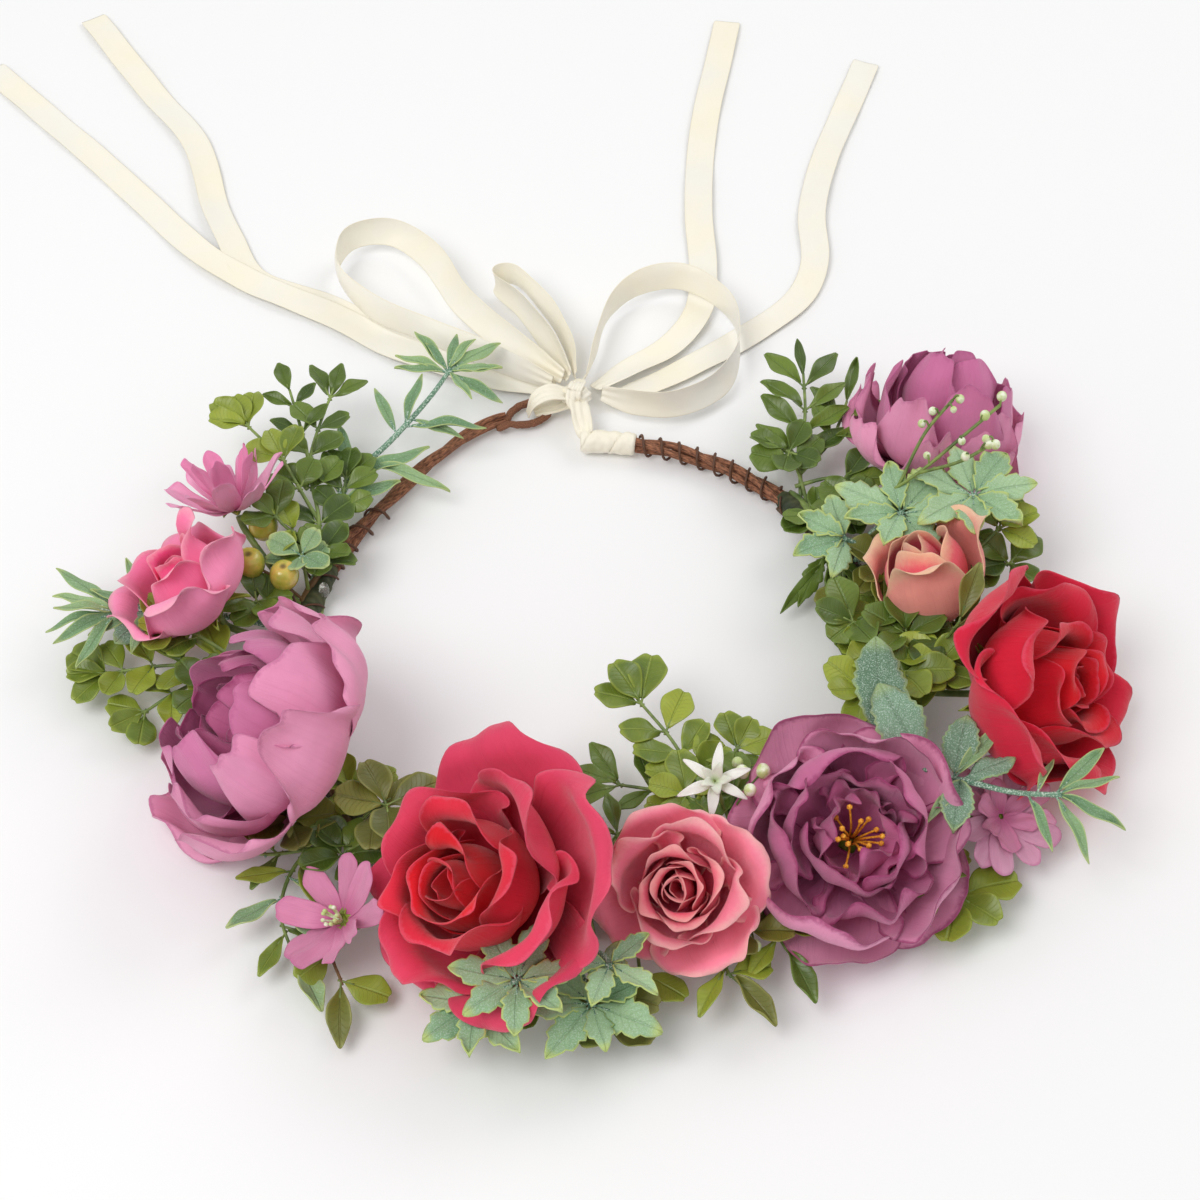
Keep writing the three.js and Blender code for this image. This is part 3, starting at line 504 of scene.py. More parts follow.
def wound_path(start, end, orbit, pitch, phase, steps):
    """A line that winds round the ring's centre line."""
    path = []
    for i in range(steps + 1):
        angle = start + (end - start) * i / steps
        turn = phase + math.tau * math.radians(start - angle) * RING_RADIUS / pitch
        path.append(around(angle, orbit * math.cos(turn), RING_HEIGHT + orbit * math.sin(turn)))
    return path


# ------------------------------------------------------------------ making and ending pieces
BLANKS = {}


def cloth_blank(across, along):
    """A flat grid with its map, made once for each size and copied."""
    if (across, along) not in BLANKS:
        bpy.ops.object.select_all(action="DESELECT")
        bpy.ops.mesh.primitive_grid_add(x_subdivisions=across, y_subdivisions=along, size=1)
        blank = bpy.context.object
        blank.name = f"blank_{across}_{along}"
        places = np.zeros(len(blank.data.vertices) * 3)
        blank.data.vertices.foreach_get("co", places)
        mesh = blank.data.copy()
        bpy.data.objects.remove(blank)
        places = places.reshape(-1, 3)
        BLANKS[across, along] = (mesh, places[:, 0] * 2, places[:, 1] + 0.5)
    return BLANKS[across, along]


def mark(mesh, shade=0.5, layer=0.5):
    """The two values that finishes read: a piece's own tint, and its layer from heart to outside."""
    for label, value in (("shade", shade), ("layer", layer)):
        marks = mesh.attributes.new(label, "FLOAT", "POINT")
        marks.data.foreach_set("value", np.full(len(mesh.vertices), value))


def cloth_piece(name, across, along, shape, shade=0.5, layer=0.0):
    """A sheet whose points go where shape(u, v) says: u is -1 to 1 across, v is 0 to 1 along."""
    blank, u, v = cloth_blank(across, along)
    mesh = blank.copy()
    mesh.vertices.foreach_set("co", np.asarray(shape(u, v), float).ravel())
    mark(mesh, shade, layer)
    mesh.update()
    return stand(name, mesh)


def tube_piece(name, path, radius, sides=8):
    """A tube along a path. radius is a size, or a function of the share along it and the turn."""
    size = radius if callable(radius) else lambda share, turn: radius
    ways = tangents(path)
    side = ways[0].cross(UP if abs(ways[0].z) < 0.9 else Vector((1, 0, 0))).normalized()
    places = []
    for i, (point, way) in enumerate(zip(path, ways)):
        side = (side - way * side.dot(way)).normalized()
        top = way.cross(side)
        for k in range(sides):
            turn = math.tau * k / sides
            reach = size(i / (len(path) - 1), turn)
            places.append(point + side * (reach * math.cos(turn)) + top * (reach * math.sin(turn)))
    faces = []
    for i in range(len(path) - 1):
        for k in range(sides):
            a, b = i * sides + k, i * sides + (k + 1) % sides
            faces.append((a, b, b + sides, a + sides))
    faces.append(tuple(reversed(range(sides))))
    faces.append(tuple(range((len(path) - 1) * sides, len(path) * sides)))
    mesh = bpy.data.meshes.new(name)
    mesh.from_pydata([tuple(p) for p in places], [], faces)
    layout = mesh.uv_layers.new(name="UVMap")
    for polygon in mesh.polygons[:-2]:
        i, k = divmod(polygon.index, sides)
        corners = ((k, i), (k + 1, i), (k + 1, i + 1), (k, i + 1))
        for loop, (a, b) in zip(polygon.loop_indices, corners):
            layout.data[loop].uv = (a / sides, b / (len(path) - 1))
    mark(mesh)
    return stand(name, mesh)


def ball_piece(name, middle, radius, stretch=(1, 1, 1), segments=12, rings=8):
    """A rounded bead whose lower end is drawn in to a dimple."""
    bpy.ops.object.select_all(action="DESELECT")
    bpy.ops.mesh.primitive_uv_sphere_add(segments=segments, ring_count=rings, radius=radius)
    piece = bpy.context.object
    piece.name = name
    mesh = piece.data
    mark(mesh)
    for vertex in mesh.vertices:
        place = vertex.co
        dimple = max(abs(place.z) / radius - 0.86, 0) * 1.6
        lump = 1 + 0.06 * noise.noise(place / radius * 1.3 + Vector(middle) * 90)
        vertex.co = Vector((place.x * stretch[0], place.y * stretch[1],
                            place.z * stretch[2] * (1 - dimple))) * lump
    mesh.transform(Matrix.Translation(middle))
    return piece


def pick(*pieces):
    bpy.ops.object.select_all(action="DESELECT")
    for piece in pieces:
        piece.select_set(True)
    bpy.context.view_layer.objects.active = pieces[0]


def join(name, pieces):
    """Makes one piece of several, each with its own material kept."""
    pick(*pieces)
    if len(pieces) > 1:
        bpy.ops.object.join()
    whole = bpy.context.view_layer.objects.active
    whole.name = name
    whole.data.name = name
    return whole


def paint(piece, finish):
    piece.data.materials.clear()
    piece.data.materials.append(finish)
    return piece


def thicken(piece, thickness, rounds=1):
    """Gives cloth its thickness and rounds it off."""
    pick(piece)
    wall = piece.modifiers.new("wall", "SOLIDIFY")
    wall.thickness = thickness
    wall.offset = 0
    bpy.ops.object.modifier_apply(modifier=wall.name)
    if rounds:
        soften(piece, rounds)
    return piece


def soften(piece, rounds=1):
    pick(piece)
    smooth = piece.modifiers.new("smooth", "SUBSURF")
    smooth.levels = rounds
    smooth.render_levels = rounds
    bpy.ops.object.modifier_apply(modifier=smooth.name)
    return piece


TABLE_LOW = 0.0002              # how close to the table anything lies
TABLE_BAND = 0.003              # the height below which it gives way


def rest_on_table(piece):
    """Soft petals and leaves that would reach below the table lie down on it instead."""
    places = np.empty(len(piece.data.vertices) * 3)
    piece.data.vertices.foreach_get("co", places)
    heights = places[2::3]
    lowest = heights.min()
    if lowest < TABLE_LOW:
        below = heights < TABLE_BAND
        share = (heights[below] - lowest) / (TABLE_BAND - lowest)
        heights[below] = TABLE_LOW + share * (TABLE_BAND - TABLE_LOW)
        piece.data.vertices.foreach_set("co", places)
        piece.data.update()


def finish_piece(piece, node_names, smooth_angle=None):
    """Smooth shading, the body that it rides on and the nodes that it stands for."""
    rest_on_table(piece)
    pick(piece)
    bpy.ops.object.shade_smooth()
    if smooth_angle:
        bpy.ops.object.shade_smooth_by_angle(angle=math.radians(smooth_angle))
    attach(piece, "root")
    if node_names:
        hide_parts(*node_names)
    return piece


# ------------------------------------------------------------------ ribbon
PLEAT_DEPTH = 0.0008            # of the folds where the ribbon is pinched to nothing
PLEAT_TURN = 8.5                # radians of folds from the ribbon's middle to its edge
TABLE_GAP = 0.0003              # left under a ribbon that lies down
TAIL_STEPS = 72
LOOP_STEPS = 64


def ribbon(name, path, leans, widths=(1,), curl=0.04, ripple=0.0004, columns=8):
    """A satin strip along a path. A lean of 0 lies flat and 90 stands on its edge.

    Its widths are shares of the full width, and where it is narrow it lies in pleats.
    """
    ways = tangents(path)
    rows = len(path) - 1
    shares = np.linspace(0, 1, rows + 1)
    turns = np.interp(shares, np.linspace(0, 1, len(leans)), leans)
    wides = np.interp(shares, np.linspace(0, 1, len(widths)), widths)

    def shape(u, v):
        places = []
        for across, along in zip(u, v):
            i = round(along * rows)
            level = ways[i].cross(UP).normalized()
            rise = level.cross(ways[i]).normalized()
            lean = math.radians(turns[i])
            side = level * math.cos(lean) + rise * math.sin(lean)
            face = side.cross(ways[i])
            width = RIBBON_WIDTH * wides[i]
            bow = width * curl * (across * across - 0.5)
            bow += ripple * noise.noise(path[i] * 60 + side * across * 0.6)
            wander = 0.6 * math.sin(along * 9)
            bow += PLEAT_DEPTH * (1 - wides[i]) * math.cos(across * PLEAT_TURN + wander)
            places.append(path[i] + side * (across * width / 2) + face * bow)
        return places

    strip = cloth_piece(name, columns, rows, shape)
    thicken(strip, RIBBON_THICKNESS)
    return paint(strip, FINISH["satin"])


# Each tail runs from the knot over the table to its cut end: its points are how far right of the
# ring's middle, how far behind its centre line and how high, and then its leans along the way.
TAILS = {
    "left_front": ([(-0.012, 0.0245, 0.0032), (-0.036, 0.032, 0.0028), (-0.065, 0.044, 0.0022),
                    (-0.089, 0.060, 0.0019), (-0.118, 0.076, 0.0018), (-0.137, 0.091, 0.0015),
                    (-0.157, 0.114, 0.001), (-0.176, 0.136, 0.0008), (-0.198, 0.160, 0.0008),
                    (-0.222, 0.186, 0.0008)], (20, 12, 6, 4, 3, 6, 4, 0, 0)),
    "left_back": ([(-0.014, 0.025, 0.0012), (-0.042, 0.037, 0.0006), (-0.068, 0.051, 0.0006),
                   (-0.092, 0.066, 0.0006), (-0.117, 0.078, 0.0006), (-0.127, 0.098, 0.0006),
                   (-0.133, 0.112, 0.0006), (-0.143, 0.146, 0.0006), (-0.162, 0.174, 0.0006),
                   (-0.188, 0.215, 0.0006)], (4, 0, 0, 0, -4, -8, -5, 0, 3, 0)),
    "right_front": ([(0.004, 0.020, 0.002), (0.022, 0.029, 0.0012), (0.040, 0.041, 0.0008),
                     (0.057, 0.054, 0.0007), (0.072, 0.069, 0.0006), (0.078, 0.086, 0.0006),
                     (0.078, 0.110, 0.0006), (0.084, 0.138, 0.0006), (0.093, 0.164, 0.0006),
                     (0.102, 0.190, 0.0006)], (15, 8, 3, 0, 5, 9, 5, 0, 0)),
    "right_back": ([(0.001, 0.0245, 0.0033), (0.013, 0.0345, 0.0028), (0.027, 0.045, 0.0024),
                    (0.037, 0.062, 0.002), (0.039, 0.082, 0.0014), (0.038, 0.108, 0.0008),
                    (0.039, 0.136, 0.0006), (0.042, 0.163, 0.0006), (0.047, 0.190, 0.0006),
                    (0.051, 0.213, 0.0006)], (20, 12, 6, 8, 5, 0, 0, 3, 0)),
}


def lie_on_table(points, leans):
    """Lifts a path just enough for the ribbon's lower edge to clear the table."""
    lifted = []
    for i, point in enumerate(points):
        lean = math.radians(np.interp(i / (len(points) - 1), np.linspace(0, 1, len(leans)), leans))
        edge = abs(math.sin(lean)) * RIBBON_WIDTH / 2 + RIBBON_THICKNESS + TABLE_GAP
        lifted.append(Vector((point.x, point.y, max(point.z, edge))))
    return lifted


def make_tails():
    for name, (points, leans) in TAILS.items():
        route = smooth_path([behind_ring(*point) for point in points], TAIL_STEPS)
        path = lie_on_table(route, leans)
        tail = ribbon(f"satin_tail_{name}", path, leans, (0.55,) + (1,) * 16, ripple=0.0008)
        finish_piece(tail, [f"ribbon_tail_{name}"])


# Each loop of the bow, from the knot out and back again, and its leans on the way.
LOOPS = {
    "bow_loop_left": ([(-0.009, 0.0245), (-0.027, 0.0405), (-0.044, 0.060), (-0.056, 0.082),
                       (-0.070, 0.093), (-0.084, 0.090), (-0.088, 0.076), (-0.078, 0.060),
                       (-0.060, 0.048), (-0.040, 0.0375), (-0.0125, 0.022)],
                      (60, 48, 42, 40, 52, 78, 96, 105, 112, 118, 105)),
    "bow_loop_left_small": ([(-0.007, 0.0248), (-0.014, 0.041), (-0.024, 0.058), (-0.033, 0.070),
                             (-0.027, 0.072), (-0.016, 0.058), (-0.009, 0.043), (-0.005, 0.0248)],
                            (70, 66, 70, 85, 95, 100, 100, 95)),
    "bow_loop_right": ([(-0.002, 0.0243), (0.002, 0.039), (0.007, 0.057), (0.016, 0.068),
                        (0.031, 0.071), (0.045, 0.060), (0.050, 0.040), (0.042, 0.021),
                        (0.028, 0.013), (0.015, 0.0135), (0.0035, 0.0175)],
                       (80, 86, 95, 108, 116, 104, 88, 72, 62, 70, 80)),
}


def make_loops():
    for name, (points, leans) in LOOPS.items():
        route = [behind_ring(x, behind, LOOP_HEIGHT) for x, behind in points]
        path = smooth_path(route, LOOP_STEPS)
        widths = (0.55, 0.95) + (1,) * 13 + (0.95, 0.55)
        loop = ribbon(f"satin_{name}", path, leans, widths, curl=0.1, ripple=0.0012, columns=10)
        finish_piece(loop, [name])


KNOT_RADIUS = 0.0044
STRAP_STEPS = 32
WRAP_TURNS = 1.8
WRAP_RADIUS = 0.0031


def make_knot():
    """The pinched knot, its strap, and the gathered ribbon to the eye and to the wrap."""
    left_end = around(LEFT_END, 0, RING_HEIGHT)
    right_end = around(RIGHT_END, 0, RING_HEIGHT)
    to_knot = (KNOT - left_end).normalized()
    body = ball_piece("knot_body", KNOT, KNOT_RADIUS, (1.2, 0.86, 0.9), 36, 24)
    for vertex in body.data.vertices:
        place = vertex.co - KNOT
        fold = math.sin(place.z * 2600 + place.y * 1400 + 1.5 * math.sin(place.x * 900))
        vertex.co = KNOT + place * (1 + 0.06 * fold)
    soften(paint(body, FINISH["satin"]))
    strap_path = []
    for i in range(STRAP_STEPS + 1):
        turn = math.tau * (i / STRAP_STEPS + 0.3)
        strap_path.append(KNOT + Vector((0.0008 * math.sin(turn * 2), 0.0047 * math.cos(turn),
                                         KNOT_RADIUS * math.sin(turn))))
    strap = ribbon("strap", strap_path, (0,), (0.5, 0.62, 0.5), columns=14)
    in_eye = left_end + to_knot * 0.0096
    over = left_end + to_knot * 0.015
    through = smooth_path([KNOT, over + UP * 0.006, in_eye + UP * 0.0046,
                           in_eye - UP * 0.0016 - to_knot * 0.0022], 34)
    gather = ribbon("gather", through, (12, 0, -10), (0.5, 0.72, 0.62, 0.35), columns=16)
    under = smooth_path([in_eye - UP * 0.0016, over - UP * 0.0014, KNOT - UP * 0.002], 20)
    back = ribbon("back", under, (-10, 0), (0.35, 0.6, 0.5), columns=14)
    across = smooth_path([KNOT, KNOT.lerp(right_end, 0.4) + UP * 0.0032,
                          KNOT.lerp(right_end, 0.85) + UP * 0.002, right_end + UP * 0.0034], 30)
    bridge = ribbon("bridge", across, (30, 16, -20), (0.5, 0.74, 0.66, 0.5), columns=16)
    knot = join("satin_bow_knot", [body, strap, gather, back, bridge])
    finish_piece(knot, ["bow_knot"])


def make_wrap():
    """Ribbon wound flat round the right end of the vine, each turn lapping over the last."""
    path = ring_path(RIGHT_END + 1.2, RIGHT_END - 10.5, steps=90)

    def size(share, turn):
        phase = (share * WRAP_TURNS + turn / math.tau) % 1
        fold = noise.noise(Vector((share * 9, math.cos(turn) * 2, math.sin(turn) * 2)))
        lap = 0.0008 * min(phase * 12, 1)
        closing = min(share * 9, (1 - share) * 20, 1) ** 0.5
        size_here = WRAP_RADIUS + lap * (1 - 0.4 * phase) + 0.0004 * fold
        return size_here * (0.75 + 0.25 * closing)
    wrap = tube_piece("satin_wrap", path, size, 36)
    paint(wrap, FINISH["satin"])
    finish_piece(wrap, ["ribbon_wrap"], 50)


# ------------------------------------------------------------------ the vine ring
def bark(seed):
    """A strand's size: knuckles along it, grooves round it and a taper at its ends."""
    def size(share, turn):
        lump = noise.noise(Vector((share * 34, seed, math.cos(turn) * 0.8)))
        groove = noise.noise(Vector((share * 12, math.cos(turn) * 2.4, math.sin(turn) * 2.4 + seed)))
        closing = min(share * 40, (1 - share) * 40, 1) ** 0.5
        return STRAND_RADIUS * (1 + 0.22 * lump + 0.2 * groove) * (0.5 + 0.5 * closing)
    return size


EYE_LENGTH = 0.015
EYE_WIDTH = 0.009
EYE_ROUTE = [(-0.05, 0), (0.35, -0.45), (0.85, -0.4), (1, 0), (0.85, 0.4), (0.35, 0.45),
             (0.0, 0.16), (-0.3, 0.2)]      # shares of the eye's length and width
STRAND_STEPS = 420


def make_strands():
    """Three twisted strands, the first of which turns back into the ribbon's eye."""
    for number in range(3):
        phase = math.tau * number / 3
        pitch = TWIST_PITCH * (1 + 0.02 * number)
        path = wound_path(RIGHT_END, LEFT_END, STRAND_ORBIT, pitch, phase, STRAND_STEPS)
        pieces = [tube_piece("strand", path, bark(4.0 + number * 3), 10)]
        if number == 0:
            root = path[-1]
            along = (path[-1] - path[-4]).normalized()
            across = along.cross(UP).normalized()
            route = [root + along * (EYE_LENGTH * a) + across * (EYE_WIDTH * b) for a, b in EYE_ROUTE]
            eye = smooth_path(route, 60)
            pieces.append(tube_piece("eye", eye, bark(1.0), 10))
        strand = join(f"bark_strand_{number + 1}", pieces)
        paint(strand, FINISH["vine"])
        finish_piece(strand, [f"vine_strand_{number + 1}"])


def wire_coil(name, start, end, orbit, pitch, radius, phase=0.0):
    turns = abs(math.radians(start - end)) * RING_RADIUS / pitch
    path = wound_path(start, end, orbit, pitch, phase, int(turns * 14))
    return tube_piece(name, path, radius, 6)


def make_binding():
    """Paper-covered wire wound over the bare vine and the tape's two ends."""
    coils = [
        wire_coil("right", 80, 47.5, 0.0033, 0.0062, WIRE_RADIUS * 1.3),
        wire_coil("left", -203.5, -224, 0.0034, 0.0085, WIRE_RADIUS * 1.3, 1.0),
    ]
    coil = join("bound_wire", coils)
    paint(coil, FINISH["wire"])
    finish_piece(coil, ["binding_wire"])


TAPE_TURNS = 62


def make_tape():
    """Crepe tape in slanting turns, with the stems' feet and a thin wire over it."""
    def size(share, turn):
        phase = (share * TAPE_TURNS + turn / math.tau) % 1
        lump = noise.noise(Vector((share * 40, math.cos(turn), math.sin(turn))))
        swell = noise.noise(Vector((share * 16, 5.0, 0.0)))
        closing = min(share * 60, (1 - share) * 60, 1) ** 0.5
        rough = 0.93 + 0.16 * phase + 0.16 * lump + 0.2 * swell
        return TAPE_RADIUS * rough * (0.72 + 0.28 * closing)
    path = ring_path(TAPE_START + 1, TAPE_END - 1, steps=620)
    sleeve = paint(tube_piece("tape", path, size, 20), FINISH["tape"])
    over = paint(wire_coil("over", TAPE_START, TAPE_END, 0.0038, 0.0125, WIRE_RADIUS, 2.0),
                 FINISH["wire"])
    runners = []
    for orbit, phase in ((0.0035, 0.6), (0.0034, 3.4)):
        path = wound_path(TAPE_START, TAPE_END, orbit, 0.083, phase, 300)
        runner = tube_piece("runner", path, bark(phase), 8)
        runners.append(paint(runner, FINISH["stem"] if phase < 1 else FINISH["brown_stem"]))
    tape = join("crepe_tape", [sleeve, over, *runners])
    finish_piece(tape, ["floral_tape"])


def make_glue_bead():
    """A drop of clear glue where a berry stem is fixed."""
    bead = ball_piece("glue_bead", around(-196.5, -0.003, 0.0085), 0.0022, (0.8, 0.8, 1.6))
    soften(bead)
    paint(bead, FINISH["glue"])
    finish_piece(bead, [])


# ------------------------------------------------------------------ petals and flower heads
def head_frame(node, heading, tilt, depth):
    """A head's own frame: its base at the origin, opening along +Z."""
    axis = outward_at(heading) * math.sin(math.radians(tilt)) + UP * math.cos(math.radians(tilt))
    turn = UP.rotation_difference(axis).to_matrix().to_4x4()
    return Matrix.Translation(box_middle(node) - axis * depth / 2) @ turn


PLAIN_PETAL = dict(
    hug=1.0,            # how closely it wraps round the axis
    taper=0.3,          # how much narrower its rim is
    round=0.28,         # how far its corners are cut back
    spiral=0.0,         # how far one side stands outside the other
    roll=0.0,           # how far its sides roll outwards
    crumple=0.035,      # creases all over it
    ruffle=0.02,        # waves in and out along its rim
    frill=0.03,         # long waves of its rim's line
    waves=1.5,          # how many of them
    fray=0.012,         # short waves of its rim's line
    loose=4.0,          # degrees that it may swing open or shut
)


def whorl(count, width, profile, **more):
    """One ring of petals: its profile runs from foot to rim as shares of the head's radius."""
    return dict(PLAIN_PETAL, count=count, width=width, profile=profile, **more)


def petal_shape(form, radius, turn, rng):
    """A petal that grows up a profile, wraps round the head's axis and curls at its edges."""
    profile = spread(smooth_path([(x, 0, z) for x, z in form["profile"]], 40), 40)
    reach = np.array([point.x for point in profile]) * radius
    height = np.array([point.z for point in profile]) * radius
    shares = np.linspace(0, 1, len(profile))
    # swings the petal open or shut about its foot
    loose = math.radians(form["loose"] * rng.uniform(-1, 1))
    foot_out = reach[0]
    foot_up = height[0]
    swung_out = (reach - foot_out) * math.cos(loose) + (height - foot_up) * math.sin(loose)
    swung_up = (height - foot_up) * math.cos(loose) - (reach - foot_out) * math.sin(loose)
    reach = foot_out + swung_out
    height = foot_up + swung_up * rng.uniform(0.93, 1.05)
    width = form["width"] * radius * rng.uniform(0.92, 1.08)
    seed = rng.uniform(0, 90)
    lean = math.radians(rng.uniform(-4, 4))

    def shape(u, v):
        # the rim is rounded at its corners, frilled and frayed
        side = np.abs(u)
        rim = np.array([noise.noise(Vector((a * form["waves"], seed, 4.0))) for a in u])
        fray = np.array([noise.noise(Vector((a * 11, seed, 8.0))) for a in u])
        rounding = 1.15 * form["round"] * side ** 2.0
        t = v * (1 - rounding + form["frill"] * rim * 1.4 + form["fray"] * fray)
        t = np.clip(t, 0, 1)
        out = np.interp(t, shares, reach)
        up = np.interp(t, shares, height)
        # the way that the petal faces, square to its profile
        step_out = np.interp(t + 0.02, shares, reach) - np.interp(t - 0.02, shares, reach)
        step_up = np.interp(t + 0.02, shares, height) - np.interp(t - 0.02, shares, height)
        step = np.hypot(step_out, step_up) + 1e-9
        normal_out, normal_up = -step_up / step, step_out / step
        # it widens from a narrow foot, wraps round the axis, rolls at its sides and creases
        half = width / 2 * (0.3 + 0.7 * np.sin(np.minimum(v / 0.62, 1) * math.pi / 2) ** 0.9)
        half = half * (1 - form["taper"] * v ** 5)
        bend = np.maximum(out, 0.3 * width) / form["hug"]
        angle = u * half / bend
        across = bend * np.sin(angle)
        inward = bend * (1 - np.cos(angle))
        roll = form["roll"] * radius * np.maximum(side - 0.5, 0) ** 2 * 4 * v
        folds = np.array([
            noise.noise(Vector((a * 1.6 + seed, b * 1.9, seed))) +
            0.45 * noise.noise(Vector((a * 4.2, b * 3.4 + seed, seed))) for a, b in zip(u, v)])
        crumple = form["crumple"] * radius * folds * (0.25 + v)
        ruffle = form["ruffle"] * radius * v ** 4 * rim * 2
        push = inward - roll + crumple + ruffle
        out = out + normal_out * push + form["spiral"] * radius * u * v
        up = up + normal_up * push + np.sin(lean) * across
        theta = math.radians(turn)
        x = out * math.cos(theta) - across * math.sin(theta)
        y = out * math.sin(theta) + across * math.cos(theta)
        return np.stack([x, y, up], 1)
    return shape


GOLDEN_ANGLE = 137.5            # degrees from one ring of petals to the next


def whorls(kind, name, radius, place, finish, grid=(14, 12), drift=(0, 0)):
    """Rings of petals round one axis, each ring joined into one piece.

    The drift is how far the outermost ring's middle lies from the heart, in shares of the radius.
    """
    rng = random.Random(name)
    rings = []
    turn = rng.uniform(0, 360)
    for number, form in enumerate(kind):
        petals = []
        for i in range(form["count"]):
            spot = turn + 360 * i / form["count"] + rng.uniform(-7, 7)
            scale = rng.uniform(0.95, 1.04)
            petal = cloth_piece("petal", *grid, petal_shape(form, radius * scale, spot, rng),
                                shade=rng.random(), layer=number / max(len(kind) - 1, 1))
            petals.append(petal)
        ring = join(f"{name}_ring_{number}", petals)
        apart = (number / max(len(kind) - 1, 1)) ** 2 * radius
        ring.data.transform(place @ Matrix.Translation((drift[0] * apart, drift[1] * apart, 0)))
        paint(ring, finish)
        rings.append(ring)
        turn += GOLDEN_ANGLE
    return rings


ROSE = [
    whorl(2, 0.5, [(0.02, 0.1), (0.07, 0.4), (0.08, 0.66), (0.05, 0.74)], hug=1.1, spiral=0.05,
          round=0.14, crumple=0.03),
    whorl(3, 0.85, [(0.04, 0.05), (0.17, 0.28), (0.19, 0.56), (0.14, 0.76), (0.18, 0.8)],
          spiral=0.06, round=0.16, crumple=0.03),
    whorl(3, 1.15, [(0.05, 0.0), (0.3, 0.2), (0.34, 0.52), (0.27, 0.76), (0.33, 0.84), (0.37, 0.81)],
          spiral=0.09, round=0.2, crumple=0.035, frill=0.05),
    whorl(4, 1.3, [(0.06, -0.03), (0.42, 0.14), (0.5, 0.46), (0.43, 0.74), (0.51, 0.84), (0.57, 0.8)],
          spiral=0.1, round=0.24, crumple=0.045, frill=0.05),
    whorl(4, 1.55, [(0.08, -0.06), (0.52, 0.05), (0.7, 0.36), (0.68, 0.64), (0.8, 0.77), (0.89, 0.7)],
          hug=0.9, spiral=0.1, roll=0.08, round=0.28, crumple=0.06, frill=0.05, ruffle=0.04, loose=6),
    whorl(4, 1.75, [(0.1, -0.1), (0.58, -0.04), (0.88, 0.2), (1.0, 0.42), (1.12, 0.42), (1.18, 0.3)],
          hug=0.6, roll=0.16, round=0.3, crumple=0.08, frill=0.06, ruffle=0.07, loose=9),
]

CUP_ROSE = ROSE[:5] + [
    whorl(4, 1.8, [(0.1, -0.1), (0.6, -0.04), (0.9, 0.24), (0.96, 0.56), (1.04, 0.68), (1.1, 0.64)],
          hug=0.85, spiral=0.1, roll=0.1, round=0.3, crumple=0.08, frill=0.06, ruffle=0.06, loose=8),
]

LOOSE_ROSE = [
    whorl(2, 0.6, [(0.02, 0.1), (0.1, 0.4), (0.12, 0.74), (0.08, 0.84)], hug=1.1, spiral=0.08,
          round=0.14, crumple=0.04),
    whorl(3, 1.05, [(0.04, 0.02), (0.28, 0.3), (0.32, 0.66), (0.24, 0.9), (0.3, 0.96)],
          spiral=0.1, round=0.18, crumple=0.05, frill=0.05),
    whorl(3, 1.6, [(0.06, -0.04), (0.46, 0.2), (0.56, 0.56), (0.5, 0.86), (0.6, 0.98), (0.68, 0.94)],
          spiral=0.14, round=0.24, crumple=0.06, frill=0.06, ruffle=0.04, loose=6),
    whorl(4, 1.7, [(0.08, -0.1), (0.6, 0.02), (0.84, 0.34), (0.86, 0.62), (1.0, 0.74), (1.1, 0.66)],
          hug=0.8, spiral=0.08, roll=0.14, round=0.3, crumple=0.08, ruffle=0.07, loose=10),
]

OPEN_PEONY = [
    whorl(5, 0.75, [(0.12, 0.06), (0.26, 0.16), (0.38, 0.4), (0.4, 0.6)], hug=0.7, round=0.2, taper=0.1,
          crumple=0.18, frill=0.14, fray=0.07, ruffle=0.12, waves=3.4, loose=12),
    whorl(4, 1.15, [(0.08, 0.05), (0.4, 0.12), (0.56, 0.42), (0.56, 0.7)], hug=0.75, round=0.22,
          taper=0.1, crumple=0.16, frill=0.1, fray=0.06, ruffle=0.1, waves=2.6, loose=14),
    whorl(4, 1.4, [(0.1, 0.0), (0.52, 0.06), (0.74, 0.36), (0.72, 0.64), (0.64, 0.76)], hug=0.8,
          taper=0.15, round=0.24, crumple=0.14, frill=0.09, fray=0.05, ruffle=0.09, waves=2.4, loose=13),
    whorl(4, 1.65, [(0.1, -0.06), (0.66, -0.02), (0.92, 0.26), (0.94, 0.54), (0.86, 0.68)], hug=0.75,
          taper=0.15, round=0.26, crumple=0.13, frill=0.08, fray=0.05, ruffle=0.09, waves=2.2, loose=12),
    whorl(5, 1.55, [(0.1, -0.12), (0.64, -0.12), (0.98, 0.04), (1.12, 0.24), (1.18, 0.34)], hug=0.55,
          taper=0.15, roll=0.08, round=0.28, crumple=0.13, frill=0.08, fray=0.05, ruffle=0.1, waves=2.2,
          loose=11),
]

PEONY_SILK = dict(crumple=0.07, frill=0.12, fray=0.05, waves=3.2)

